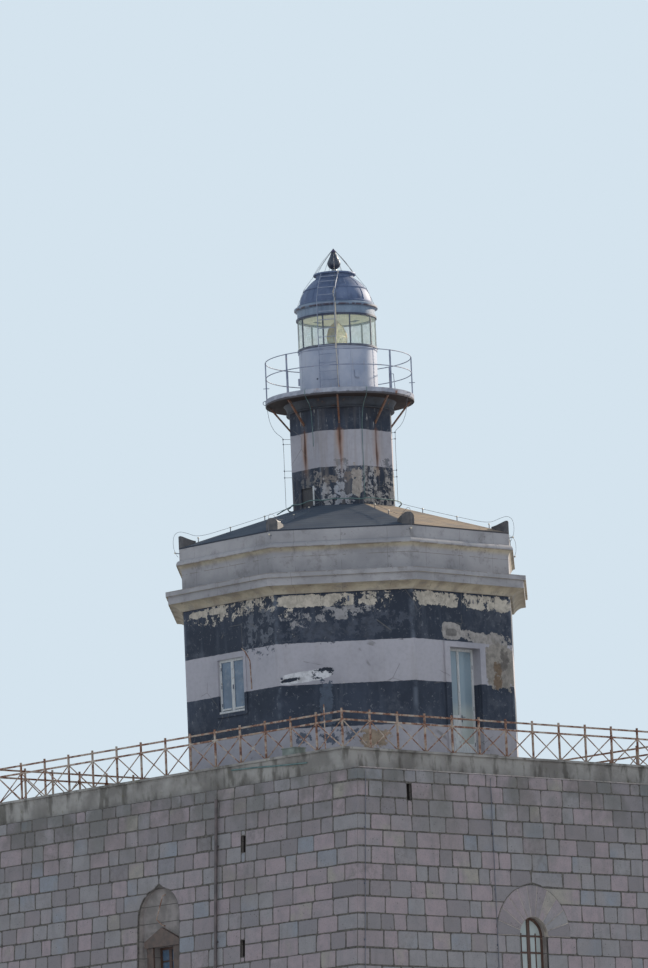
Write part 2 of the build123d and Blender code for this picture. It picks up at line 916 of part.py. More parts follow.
strut_run = strut_top_radius - shaft_flat
strut_length = hypot(strut_run, strut_drop)
strut_foot_z = gallery_under_z - strut_drop
with BuildPart() as strut:
    with BuildSketch(Plane.XZ):
        with BuildLine():
            Polyline(
                (shaft_flat, strut_foot_z),
                (shaft_flat, strut_foot_z + strut_bar * strut_length / strut_run),
                (strut_top_radius - strut_bar * strut_length / strut_drop, gallery_under_z),
                (strut_top_radius, gallery_under_z),
                close=True,
            )
        make_face()
    extrude(amount=strut_bar / 2, both=True)
with BuildPart() as struts:
    with PolarLocations(0, SIDES):
        add(strut.part)
write(struts, "gallery_struts")

gallery_rail_line = gallery_radius - gallery_rail_inset
with BuildPart() as gallery_posts:
    with Locations((0, 0, gallery_z + gallery_rail_height / 2)):
        with PolarLocations(gallery_rail_line, SIDES, start_angle=post_turn):
            Box(gallery_post, gallery_post, gallery_rail_height)
write(gallery_posts, "gallery_posts")

top_rail_z = gallery_z + gallery_rail_height - gallery_rail_bar / 2
with BuildPart() as gallery_rails:
    with Locations((0, 0, top_rail_z), (0, 0, gallery_z + gallery_mid_height)):
        Torus(gallery_rail_line, gallery_rail_bar / 2)
    add(gallery_posts.part, mode=Mode.SUBTRACT)
write(gallery_rails, "gallery_rails")


def drum_shell():
    """The round wall of the lantern's drum, without its door."""
    with BuildPart() as shell:
        with Locations((0, 0, gallery_z + drum_height / 2)):
            Cylinder(drum_radius, drum_height)
            Cylinder(drum_radius - drum_wall, drum_height, mode=Mode.SUBTRACT)
    return shell


def drum_doorway(inset):
    """A block that fills the doorway of the drum, drawn in from its edges."""
    with BuildPart() as doorway:
        with BuildSketch(facing(drum_door_angle, 0)):
            with Locations((0, gallery_z + drum_door_foot + drum_door_height / 2)):
                Rectangle(drum_door_width - 2 * inset, drum_door_height - 2 * inset)
        extrude(amount=2 * drum_radius)
    return doorway


# Drum of the lantern, with a low door on the side away from the ladder
with BuildPart() as drum:
    add(drum_shell().part)
    add(drum_doorway(0).part, mode=Mode.SUBTRACT)
write(drum, "lantern_drum")

with BuildPart() as drum_door:
    add(drum_shell().part)
    add(drum_doorway(SEAT).part, mode=Mode.INTERSECT)
write(drum_door, "drum_door")

# Glazing of the lantern: a sill, upright bars and one bent sheet of glass in each bay
with BuildPart() as lantern_sill:
    with Locations((0, 0, sill_z + sill_height / 2)):
        Cylinder(sill_radius, sill_height)
        Cylinder(drum_radius - drum_wall, sill_height, mode=Mode.SUBTRACT)
write(lantern_sill, "lantern_sill")

bar_line = glass_radius + pane_bar_proud - pane_bar_depth / 2
with BuildPart() as pane_bars:
    with Locations((0, 0, glass_z + glass_height / 2)):
        with PolarLocations(bar_line, pane_count, start_angle=first_pane_bar):
            Box(pane_bar_depth, pane_bar, glass_height)
write(pane_bars, "lantern_bars")

with BuildPart() as panes:
    with Locations((0, 0, glass_z + glass_height / 2)):
        Cylinder(glass_radius, glass_height)
        Cylinder(glass_radius - glass_thickness, glass_height, mode=Mode.SUBTRACT)
    add(pane_bars.part, mode=Mode.SUBTRACT)
write(panes, "lantern_glass")

with BuildPart() as entablature:
    with BuildSketch(Plane.XZ):
        with BuildLine():
            Polyline(
                (entablature_inner, entablature_z),
                (foot_ring_radius, entablature_z),
                (foot_ring_radius, frieze_z),
                (drum_radius, frieze_z),
                (drum_radius, gutter_z),
                (gutter_radius, gutter_z + gutter_cove),
                (gutter_radius, gutter_z + gutter_cove + gutter_height),
                (dome_foot_radius + dome_shell, dome_z),
                (entablature_inner, dome_z),
                close=True,
            )
        make_face()
    revolve(axis=Axis.Z)
write(entablature, "lantern_entablature")

with BuildPart() as ceiling:
    with Locations((0, 0, entablature_z + ceiling_lift + ceiling_thickness / 2)):
        Cylinder(entablature_inner - SEAT, ceiling_thickness)
write(ceiling, "lantern_ceiling")

# Dome: two courses of sheet, the lower steeper than the upper
dome_foot = (dome_foot_radius, dome_z)
dome_seam = (dome_seam_radius, dome_z + dome_seam_height)
dome_top = (dome_top_radius, collar_z)
inner_foot = (dome_foot_radius - dome_shell, dome_z)
inner_seam = (dome_seam_radius - dome_shell, dome_seam[1] - dome_shell / 2)
inner_top = (dome_top_radius - dome_shell, collar_z)
with BuildPart() as dome:
    with BuildSketch(Plane.XZ):
        with BuildLine():
            ThreePointArc(
                dome_foot, (dome_middle_radius, dome_z + dome_middle_height), dome_seam
            )
            ThreePointArc(
                dome_seam, (dome_upper_radius, dome_z + dome_upper_height), dome_top
            )
            Line(dome_top, inner_top)
            ThreePointArc(
                inner_top,
                (dome_upper_radius - dome_shell, dome_z + dome_upper_height - dome_shell),
                inner_seam,
            )
            ThreePointArc(
                inner_seam,
                (dome_middle_radius - dome_shell, dome_z + dome_middle_height),
                inner_foot,
            )
            Line(inner_foot, dome_foot)
        make_face()
    revolve(axis=Axis.Z)
write(dome, "dome")

with BuildPart() as vent:
    with BuildSketch(Plane.XZ):
        with BuildLine():
            Polyline(
                (dome_top_radius - collar_wall, collar_z),
                (dome_top_radius, collar_z),
                (dome_top_radius, lid_z),
                (lid_radius, lid_z),
                (lid_radius, lid_z + lid_height / 2),
                (finial_foot, finial_z),
                (0, finial_z),
                (0, lid_z),
                (dome_top_radius - collar_wall, lid_z),
                close=True,
            )
        make_face()
    revolve(axis=Axis.Z)
write(vent, "vent_collar")

# Finial: flared foot, ball and small pointed cap
ball_z = finial_z + finial_ball_height
ball_reach = (finial_ball**2 - finial_neck**2) ** 0.5
tip_z = finial_z + finial_height
with BuildPart() as finial:
    with BuildSketch(Plane.XZ):
        with BuildLine():
            Polyline((0, tip_z), (0, finial_z), (finial_foot, finial_z))
            RadiusArc(
                (finial_foot, finial_z),
                (finial_neck, finial_z + finial_flare),
                finial_foot,
            )
            Line((finial_neck, finial_z + finial_flare), (finial_neck, ball_z - ball_reach))
            ThreePointArc(
                (finial_neck, ball_z - ball_reach),
                (finial_ball, ball_z),
                (finial_shoulder, ball_z + finial_shoulder_rise),
            )
            Polyline(
                (finial_shoulder, ball_z + finial_shoulder_rise),
                (finial_spire, tip_z - finial_cap_height),
                (finial_cap, tip_z - finial_cap_height),
                (0, tip_z),
            )
        make_face()
    revolve(axis=Axis.Z)
write(finial, "finial")

# Ladder: flat stiles that rise from the gallery and bend over the dome to its collar
ladder_end_z = lid_z - stile_width
ladder_route = [
    (ladder_line, gallery_z),
    (ladder_line, gallery_z + ladder_bend_height),
    (dome_seam_radius + ladder_standoff, dome_seam[1] + ladder_standoff / 2),
    (dome_top_radius + ladder_standoff, ladder_end_z),
    (dome_top_radius + SEAT, ladder_end_z),
]
ladder_runs = list(zip(ladder_route[:-1], ladder_route[1:]))
with BuildPart() as straight_ladder:
    for side in (-1, 1):
        with BuildSketch(Plane.XZ.offset(side * ladder_width / 2 - stile_thickness / 2)):
            for start, end in ladder_runs:
                run, rise = end[0] - start[0], end[1] - start[1]
                with Locations(((start[0] + end[0]) / 2, (start[1] + end[1]) / 2)):
                    Rectangle(hypot(run, rise), stile_width, rotation=degrees(atan2(rise, run)))
            with Locations(*ladder_route[1:-1]):
                Circle(stile_width / 2)
        extrude(amount=stile_thickness)
    for start, end in ladder_runs[:-1]:
        run, rise = end[0] - start[0], end[1] - start[1]
        rungs = round(hypot(run, rise) / rung_spacing)
        for k in range(rungs):
            share = (k + 0.5) / rungs
            place = (start[0] + share * run, 0, start[1] + share * rise)
            with Locations(Location(place, (90, 0, 0))):
                Cylinder(rung_radius, ladder_width)
with BuildPart() as ladder:
    add(straight_ladder.part, rotation=(0, 0, ladder_angle))
write(ladder, "ladder")

# Pedestal of the lens: a column on a foot, a round table with a raised race, and a pivot
with BuildPart() as pedestal:
    with BuildSketch(Plane.XZ):
        with BuildLine():
            Polyline(
                (0, gallery_z),
                (pedestal_foot, gallery_z),
                (pedestal_foot, gallery_z + pedestal_foot_height),
                (pedestal_radius, gallery_z + 2 * pedestal_foot_height),
                (pedestal_radius, table_z - 2 * table_thickness),
                (table_radius, table_z - table_thickness),
                (table_radius, table_z),
                (race_radius + race_width, table_z),
                (race_radius + race_width, turntable_z - SEAT),
                (race_radius, turntable_z - SEAT),
                (race_radius, table_z),
                (pivot_radius, table_z),
                (pivot_radius, turntable_z + turntable_thickness),
                (0, turntable_z + turntable_thickness),
                close=True,
            )
        make_face()
    revolve(axis=Axis.Z)
write(pedestal, "lens_pedestal")

lens_turn = Location((0, 0, lens_z), (0, 0, lens_angle))


def lens_depth(radius):
    """Depth of the glass before its mid plane, at a distance from the optical axis."""
    share = radius / (lens_height / 2)
    return lens_edge + (lens_bulge - bullseye_rise - lens_edge) * (1 - share**2)


def rim_depth(radius):
    """Depth of the rim, which stands a little proud of the prisms."""
    return lens_depth(radius) + prism_step + lens_rim_proud


def lens_prism(inset):
    """The pointed outline of the lens, drawn in all round, as a block about its mid plane."""
    tip = lens_height / 2 - inset * lens_height / lens_width
    flank = lens_width / 2 - inset
    with BuildPart() as prism:
        with BuildSketch(Plane.YZ):
            with BuildLine():
                ThreePointArc((0, -tip), (flank, 0), (0, tip))
                ThreePointArc((0, tip), (-flank, 0), (0, -tip))
            make_face()
        extrude(amount=lens_bulge, both=True)
    return prism


# Frame of the lens: a pointed rim as deep as the glass that it holds, on a foot and a
# turntable. It turns about the axis of the tower, with the glass.
rim_ends = [(rim_depth(radius), radius) for radius in (0, lens_height / 4, lens_height / 2)]
with BuildPart() as rim:
    add(lens_prism(0).part)
    add(lens_prism(lens_rim).part, mode=Mode.SUBTRACT)
    with BuildSketch(Plane.XZ):
        with BuildLine():
            ThreePointArc(*rim_ends)
            Polyline(rim_ends[2], (0, lens_height / 2), (0, 0), rim_ends[0])
        make_face()
        mirror(about=Plane.YZ)
    revolve(axis=Axis.X, mode=Mode.INTERSECT)
with BuildPart() as lens_frame:
    add(rim.part.moved(lens_turn))
    with Locations(Location((0, 0, turntable_z + turntable_thickness / 2))):
        Cylinder(turntable_radius, turntable_thickness)
        Cylinder(pivot_radius + SEAT, turntable_thickness, mode=Mode.SUBTRACT)
    foot_top = lens_z - lens_height / 2 + lens_rim
    foot_z = turntable_z + turntable_thickness
    with Locations(Location((0, 0, (foot_top + foot_z) / 2), (0, 0, lens_angle))):
        Box(2 * lens_edge, lens_foot_width, foot_top - foot_z)
write(lens_frame, "lens_frame")

# Glass of the lens: on each side a bull's-eye ringed by stepped prisms
ring_width = (lens_height / 2 - bullseye_radius) / prism_rings
ring_edges = [bullseye_radius + k * ring_width for k in range(prism_rings + 1)]
prism_points = [(lens_depth(bullseye_radius), bullseye_radius)]
for inner_edge, outer_edge in zip(ring_edges[:-1], ring_edges[1:]):
    prism_points.append((lens_depth(inner_edge) + prism_step, inner_edge))
    prism_points.append((lens_depth(outer_edge), outer_edge))
back_points = [(lens_depth(edge) - lens_glass, edge) for edge in reversed(ring_edges)]
lens_nose = lens_depth(0) + bullseye_rise
with BuildPart() as panel_glass:
    with BuildSketch(Plane.XZ):
        with BuildLine():
            ThreePointArc(
                (lens_nose, 0),
                (lens_nose - bullseye_rise / 4, bullseye_radius / 2),
                prism_points[0],
            )
            Polyline(*prism_points, *back_points, (lens_depth(0) - lens_glass, 0), (lens_nose, 0))
        make_face()
    revolve(axis=Axis.X)
    add(lens_prism(lens_rim + SEAT).part, mode=Mode.INTERSECT)
with BuildPart() as lens_glass_panels:
    add(panel_glass.part.moved(lens_turn))
    add(panel_glass.part.moved(lens_turn * Location((0, 0, 0), (0, 0, 180))))
write(lens_glass_panels, "lens_glass")
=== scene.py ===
"""Looks of a harbour lighthouse: ashlar, weathered paint, rusty railings and a glazed lantern."""
import json
import random
from itertools import product
from math import atan2, cos, hypot, pi, radians, sin, sqrt

import bpy
from mathutils import Matrix, Vector


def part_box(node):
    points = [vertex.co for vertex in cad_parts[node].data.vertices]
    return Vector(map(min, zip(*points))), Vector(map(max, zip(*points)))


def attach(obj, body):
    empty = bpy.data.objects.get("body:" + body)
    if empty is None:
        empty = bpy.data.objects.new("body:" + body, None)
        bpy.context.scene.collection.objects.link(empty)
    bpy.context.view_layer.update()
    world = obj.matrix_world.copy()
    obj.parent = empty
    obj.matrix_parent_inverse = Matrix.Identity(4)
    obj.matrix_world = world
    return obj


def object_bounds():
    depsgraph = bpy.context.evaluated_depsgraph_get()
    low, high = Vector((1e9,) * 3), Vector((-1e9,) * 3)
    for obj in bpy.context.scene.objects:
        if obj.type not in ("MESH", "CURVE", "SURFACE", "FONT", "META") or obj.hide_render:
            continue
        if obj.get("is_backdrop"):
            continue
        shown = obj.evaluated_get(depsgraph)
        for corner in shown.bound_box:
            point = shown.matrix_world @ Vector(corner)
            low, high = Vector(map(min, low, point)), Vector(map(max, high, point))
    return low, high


# Metres, in the frame of the model: the origin is on the ground at the middle of the tower,
# +Z is up, -Y is the front and +X is the right side.
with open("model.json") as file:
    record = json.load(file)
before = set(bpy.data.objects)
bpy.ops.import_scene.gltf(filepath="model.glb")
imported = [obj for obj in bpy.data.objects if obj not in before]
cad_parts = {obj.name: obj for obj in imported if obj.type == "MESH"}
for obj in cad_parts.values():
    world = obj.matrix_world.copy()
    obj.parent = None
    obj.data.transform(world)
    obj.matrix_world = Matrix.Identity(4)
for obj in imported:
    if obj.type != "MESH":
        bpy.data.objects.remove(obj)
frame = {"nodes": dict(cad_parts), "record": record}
cad_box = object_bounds()
nodes = frame["nodes"]

FRONT, RIGHT, BACK, LEFT = -90, 0, 90, 180
DIAGONAL = -45               # the side of the octagons that looks at the camera
SIDES = 8                    # the house and the shaft are octagons
TURN = 360 / SIDES
FLAT = cos(radians(TURN / 2))

# Levels and distances read from the frame
TOWER_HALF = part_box("stone_wall_right")[1].x
TOWER_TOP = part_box("stone_wall_front")[1].z
FOOT_LINE = -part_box("stone_wall_front")[0].y
SIDE_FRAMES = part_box("tower_window_frames")[1].x
TERRACE_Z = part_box("terrace_slab")[1].z
HOUSE_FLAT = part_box("house_wall_right")[1].x
CORNICE_Z, ATTIC_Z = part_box("cornice")[0].z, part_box("attic")[0].z
EAVE_Z, ROOF_TOP_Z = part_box("roof")[0].z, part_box("roof")[1].z
EAVE_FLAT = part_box("roof")[1].x
BLOCK_TOP_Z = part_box("corner_blocks")[1].z
SHAFT_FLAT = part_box("shaft_wall")[1].x
STRUT_FOOT_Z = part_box("gallery_struts")[0].z
GALLERY_UNDER_Z, GALLERY_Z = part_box("gallery_slab")[0].z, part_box("gallery_slab")[1].z
GALLERY_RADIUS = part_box("gallery_slab")[1].x
DRUM_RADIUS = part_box("lantern_drum")[1].x
SILL_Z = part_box("lantern_sill")[0].z
ENTABLATURE_Z, DOME_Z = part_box("lantern_entablature")[0].z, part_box("dome")[0].z
COLLAR_Z, LID_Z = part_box("vent_collar")[0].z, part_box("finial")[0].z
LID_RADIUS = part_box("vent_collar")[1].x
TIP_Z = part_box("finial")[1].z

# Sizes and places that agree with the solids
BATTER = 0.06                # lean of the front and back
TERRACE_HALF = TOWER_HALF - 0.65
STOREY = 8.1
ARCH_SPRINGS = [3.25 + STOREY * k for k in range(3)]  # of the windows in the side walls
ARCH_SHIFT = 1.15
ARCH_HALF, ARCH_SPRING, RING_RADIUS = 0.525, 1.85, 1.375
NICHE_SILLS = [1.4 + STOREY * k for k in range(3)]
NICHE_HALF, NICHE_SPRING, NICHE_RISE = 0.85, 2.9, 0.85
SLOT_SETBACK = 0.33          # of the window in a niche, from the face at the niche's crown
ENTRANCE_HALF, ENTRANCE_TOP = 0.89, 2.89
PUTLOG_WIDTH, PUTLOG_HEIGHT = 0.18, 0.45
FRONT_PUTLOGS = ((3.43, 21.95), (3.42, 19.13))
RIGHT_PUTLOGS = ((-5.55, 22.96),)
WINDOW_SILL, WINDOW_HEAD = TERRACE_Z + 1.89, TERRACE_Z + 3.39
CONDUCTOR_ANGLES = (-124, 22)

# Heights of the black bands, and of the white one round the shaft
LOWER_BLACK = (TERRACE_Z + 1.21, TERRACE_Z + 2.40)
UPPER_BLACK = (TERRACE_Z + 3.56, CORNICE_Z + 0.2)
SHAFT_WHITE = (TERRACE_Z + 8.90, TERRACE_Z + 9.93)

# Courses and blocks of the ashlar
JOINT = 0.018
COURSE = 0.464
TOP_COURSE = 0.33
STONE_LENGTH = (0.58, 0.70)  # the mean length of the blocks in a run
SHORTEST_RUN = 0.12
STONE_PROUD = (0.004, 0.016)
STONE_DEPTH = 0.03           # behind the face of the wall
ARRIS = 0.018                # from the face of a block back to its full outline
LONG_QUOIN, SHORT_QUOIN = (0.75, 1.0), (0.34, 0.5)


def rgb(red, green, blue):
    """A colour written in 0 to 255, as the linear colour that a shader takes."""
    shares = [value / 255 for value in (red, green, blue)]
    return [s / 12.92 if s < 0.04045 else ((s + 0.055) / 1.055) ** 2.4 for s in shares] + [1]


def face_matrix(angle, distance, height=0.0):
    """Frame on an upright face that looks out at a plan angle: x to the right, y up, z out."""
    east, north = cos(radians(angle)), sin(radians(angle))
    out = (distance * east, distance * north, height)
    rows = ((-north, 0, east, out[0]), (east, 0, north, out[1]), (0, 1, 0, out[2]), (0, 0, 0, 1))
    return Matrix(rows)


def polar(radius, angle, z):
    """A point at a distance from the axis, a plan angle and a height."""
    return Vector((radius * cos(radians(angle)), radius * sin(radians(angle)), z))


def outwards(angle):
    """The level way out at a plan angle."""
    return polar(1, angle, 0)


def leaning_face(z):
    """Distance of the front and back of the tower from the axis at a height."""
    return FOOT_LINE - BATTER * z


# Materials


class Coat:
    """The nodes of one material. Each method gives a socket that another one can take."""

    def __init__(self, name, roughness=0.8, metallic=0.0, specular=0.5):
        self.material = bpy.data.materials.new(name)
        self.material.use_nodes = True
        self.tree = self.material.node_tree
        self.shader = self.tree.nodes["Principled BSDF"]
        self.shader.inputs["Roughness"].default_value = roughness
        self.shader.inputs["Metallic"].default_value = metallic
        self.shader.inputs["Specular IOR Level"].default_value = specular
        self.place = self.node("ShaderNodeTexCoord").outputs["Object"]
        self.x, self.y, self.z = self.node("ShaderNodeSeparateXYZ", self.place).outputs
        self.normal = None

    def feed(self, socket, value):
        """Link a socket, or set its value."""
        if isinstance(value, bpy.types.NodeSocket):
            self.tree.links.new(value, socket)
        else:
            socket.default_value = value

    def node(self, kind, *values, **settings):
        """A new node with its settings, whose first inputs take the values."""
        node = self.tree.nodes.new(kind)
        for name, value in settings.items():
            setattr(node, name, value)
        for socket, value in zip(node.inputs, values):
            self.feed(socket, value)
        return node

    def math(self, operation, *values):
        return self.node("ShaderNodeMath", *values, operation=operation).outputs[0]

    def times(self, share, *others):
        """The product of shares."""
        for other in others:
            share = self.math("MULTIPLY", share, other)
        return share

    def noise(self, scale, detail=4, roughness=0.55, stretch=(1, 1, 1), shift=0):
        """Noise with so many spots a metre, stretched along the axes."""
        mapping = self.node("ShaderNodeMapping", self.place)
        mapping.inputs["Scale"].default_value = stretch
        mapping.inputs["Location"].default_value = (shift, 2 * shift, 3 * shift)
        noise = self.node("ShaderNodeTexNoise", mapping.outputs[0])
        noise.inputs["Scale"].default_value = scale
        noise.inputs["Detail"].default_value = detail
        noise.inputs["Roughness"].default_value = roughness
        return noise.outputs["Fac"]

    def cells(self, scale, feature="F1"):
        """Distance in a cell pattern, for pits and cracks."""
        cells = self.node("ShaderNodeTexVoronoi", self.place, feature=feature)
        cells.inputs["Scale"].default_value = scale
        return cells.outputs["Distance"]

    def smooth(self, value, low, high):
        """0 below low, 1 above high, and a soft step between them. It falls if high is lower."""
        node = self.node("ShaderNodeMapRange", value, interpolation_type="SMOOTHSTEP")
        ends = (low, high, 0, 1) if low < high else (high, low, 1, 0)
        for name, end in zip(("From Min", "From Max", "To Min", "To Max"), ends):
            node.inputs[name].default_value = end
        return node.outputs[0]

    def spots(self, scale, low, high, **noise):
        """1 where noise is over high and 0 where it is under low."""
        return self.smooth(self.noise(scale, **noise), low, high)

    def band(self, value, low, high, soft):
        """1 between low and high, with soft ends."""
        rise = self.smooth(value, low - soft, low + soft)
        return self.times(rise, self.smooth(value, high + soft, high - soft))

    def joints(self, value, spacing, wide, narrow):
        """1 on lines that come at every other multiple of a spacing along a value."""
        return self.smooth(self.math("PINGPONG", value, spacing), wide, narrow)

    def swayed(self, value, amount, scale, **noise):
        """A value that noise moves up and down."""
        sway = self.math("SUBTRACT", self.noise(scale, **noise), 0.5)
        return self.math("MULTIPLY_ADD", sway, amount, value)

    def mix(self, share, first, second):
        """A colour between two."""
        node = self.tree.nodes.new("ShaderNodeMix")
        node.data_type = "RGBA"
        for socket, value in zip((node.inputs[k] for k in (0, 6, 7)), (share, first, second)):
            self.feed(socket, value)
        return node.outputs[2]

    def mottle(self, scale, first, second, low=0.35, high=0.65, **noise):
        """Two colours mixed by noise."""
        return self.mix(self.spots(scale, low, high, **noise), first, second)

    def layers(self, colour, *layers):
        """A colour with layers over it, each a tone and the shares whose product it covers."""
        for tone, *shares in layers:
            colour = self.mix(self.times(*shares), colour, tone)
        return colour

    def across(self, angle):
        """Distance along a face that looks out at a plan angle, to the viewer's right."""
        right = self.math("MULTIPLY", self.x, -sin(radians(angle)))
        return self.math("MULTIPLY_ADD", self.y, cos(radians(angle)), right)

    def outwards(self, angle):
        """Distance from the axis along a plan angle."""
        east = self.math("MULTIPLY", self.x, cos(radians(angle)))
        return self.math("MULTIPLY_ADD", self.y, sin(radians(angle)), east)

    def fold(self):
        """Angle from the middle of the octagon side that a point is on, in radians."""
        angle = self.math("ARCTAN2", self.y, self.x)
        half_turn = radians(TURN / 2)
        return self.math("WRAP", angle, half_turn, -half_turn)

    def facing_down(self, low=0.2, high=0.7):
        """1 on faces that look down, 0 on upright ones."""
        normal = self.node("ShaderNodeNewGeometry").outputs["Normal"]
        lean = self.node("ShaderNodeSeparateXYZ", normal).outputs[2]
        return self.smooth(self.math("MULTIPLY", lean, -1), low, high)

    def patch(self, angle, flat, centre, size, grain, crisp, core, tilt):
        """A blotchy patch on the face that looks out at a plan angle. The grain frays its edge,
        the more so the less crisp it is, and a core over 0.5 leaves holes inside."""
        across = self.math("SUBTRACT", self.across(angle), centre[0])
        rise = self.math("SUBTRACT", self.z, centre[1])
        rise = self.math("MULTIPLY_ADD", across, -tilt, rise)
        powers = []
        for value, half in zip((across, rise), size):
            share = self.math("DIVIDE", self.math("ABSOLUTE", value), half)
            powers.append(self.math("POWER", share, 4))
        reach = self.math("POWER", self.math("ADD", *powers), 0.25)
        reach = self.math("SUBTRACT", self.math("MAXIMUM", reach, core), 1)
        inside = self.smooth(self.math("MULTIPLY_ADD", reach, crisp, grain), 0.51, 0.49)
        return self.times(inside, self.smooth(self.outwards(angle), flat - 0.03, flat - 0.02))

    def patches(self, plan, flat, grain, shade, dark):
        """Masks and colours of the patches in a plan. The shade darkens parts of each."""
        for angle, across, height, half_across, half_height, colour, crisp, core, tilt in plan:
            centre, size = (across, TERRACE_Z + height), (half_across, half_height)
            darker = [dark * value for value in colour[:3]] + [1]
            mask = self.patch(angle, flat, centre, size, grain, crisp, core, tilt)
            yield mask, self.mix(shade, colour, darker)

    def bump(self, height, distance, strength=1.0):
        """Relief of so many metres, on top of any that is there already."""
        bump = self.node("ShaderNodeBump")
        bump.inputs["Strength"].default_value = strength
        bump.inputs["Distance"].default_value = distance
        self.feed(bump.inputs["Height"], height)
        if self.normal:
            self.feed(bump.inputs["Normal"], self.normal)
        self.normal = bump.outputs[0]

    def done(self, colour):
        """Give the shader its colour and relief, and return the material."""
        self.feed(self.shader.inputs["Base Color"], colour)
        if self.normal:
            self.feed(self.shader.inputs["Normal"], self.normal)
        return self.material


WHITE_PAINT, OLD_WHITE = rgb(174, 171, 176), rgb(154, 152, 158)
BLACK_PAINT, FADED_BLACK = rgb(34, 42, 56), rgb(56, 64, 79)
BARE_CREAM, BARE_CEMENT = rgb(196, 187, 172), rgb(140, 137, 133)
DAMP = rgb(104, 102, 98)
RUST, DARK_RUST, BRIGHT_RUST = rgb(112, 72, 52), rgb(70, 48, 40), rgb(156, 106, 74)


def stone_coat():
    """Ashlar: pinkish, grey and bluish blocks, stained and pitted."""
    coat = Coat("ashlar", roughness=0.9)
    tint = coat.node("ShaderNodeAttribute", attribute_name="tint").outputs["Color"]
    tone, hue, worn = coat.node("ShaderNodeSeparateColor", tint).outputs
    hue = coat.swayed(hue, 0.9, 0.9, detail=5, shift=11)
    fine = coat.noise(28, detail=6, roughness=0.7)
    pits = coat.times(coat.smooth(coat.cells(9), 0.17, 0.05), coat.spots(1.7, 0.5, 0.62, shift=4))
    top = coat.smooth(coat.z, TOWER_TOP - 2.2, TOWER_TOP)
    colour = coat.layers(
        coat.mix(coat.smooth(hue, 0.30, 0.70), rgb(160, 145, 146), rgb(148, 144, 143)),
        (rgb(140, 143, 148), coat.smooth(hue, 0.86, 1.05)),
        (rgb(158, 151, 140), coat.smooth(hue, 0.12, -0.05)),
        (rgb(133, 126, 126), coat.smooth(tone, 0.5, 0.0)),
        (rgb(128, 124, 126), 0.40, coat.spots(3.2, 0.38, 0.66, detail=7, roughness=0.62, shift=13)),
        (rgb(118, 114, 108), 0.45, coat.spots(0.55, 0.5, 0.72, detail=6)),
        (rgb(112, 110, 108), 0.35, coat.spots(1.3, 0.55, 0.75, detail=6, stretch=(3, 3, 0.3))),
        (DAMP, 0.5, coat.smooth(fine, 0.5, 0.7)),
        (rgb(70, 66, 62), pits),
        (rgb(100, 94, 90), 0.35, worn, coat.spots(7, 0.42, 0.66, detail=6)),
        (rgb(92, 92, 84), 0.6, top, coat.spots(1.1, 0.4, 0.62, shift=9)),
    )
    coat.bump(coat.noise(5, detail=8, roughness=0.65), 0.03, 0.8)
    coat.bump(coat.math("SUBTRACT", 1, pits), 0.015, 0.8)
    coat.bump(fine, 0.004, 0.6)
    return coat.done(colour)


def wall_coat():
    """Behind the stones: dark mortar at the face, coursed stone in niches and reveals, painted shade
    deep in the putlog holes.
    """
    coat = Coat("mortar_reveals_and_painted_shade", roughness=0.95)
    x, y = coat.math("ABSOLUTE", coat.x), coat.math("ABSOLUTE", coat.y)
    lean = coat.math("MULTIPLY_ADD", coat.z, BATTER, y)
    skin = coat.smooth(lean, FOOT_LINE - 0.06, FOOT_LINE - 0.05)
    side_skin = coat.smooth(x, TOWER_HALF - 0.06, TOWER_HALF - 0.05)
    course = coat.joints(coat.math("ADD", coat.z, 0.02), COURSE / 2, 0.016, 0.006)
    # Painted shade: near black deep in the putlog holes, well behind the face of the wall.
    putlog_painted_shade = (
        coat.smooth(x, 1.5, 1.6),
        coat.smooth(y, 3.0, 3.1),
        coat.smooth(coat.z, TOWER_TOP - 0.05, TOWER_TOP - 0.10),
        coat.smooth(lean, FOOT_LINE - 0.05, FOOT_LINE - 0.12),
        coat.smooth(x, TOWER_HALF - 0.05, TOWER_HALF - 0.12),
    )
    colour = coat.layers(
        coat.mottle(3, rgb(150, 142, 137), rgb(124, 118, 113), detail=6),
        (rgb(92, 87, 82), course),
        (coat.mottle(14, rgb(74, 70, 66), rgb(104, 99, 92)), coat.math("MAXIMUM", skin, side_skin)),
        (rgb(50, 44, 42), *putlog_painted_shade),
    )
    coat.bump(coat.noise(9, detail=8, roughness=0.7), 0.02, 0.8)
    return coat.done(colour)


def dressed_coat():
    """Dressed stone of jambs, hoods and the entrance: paler, smoother, stained from above."""
    coat = Coat("dressed_stone", roughness=0.85)
    colour = coat.layers(
        coat.mottle(2.5, rgb(176, 166, 154), rgb(150, 143, 136), detail=6),
        (rgb(112, 102, 90), 0.6, coat.spots(2.2, 0.5, 0.7, detail=6, stretch=(4, 4, 0.4))),
    )
    coat.bump(coat.noise(18, detail=6), 0.006, 0.7)
    return coat.done(colour)


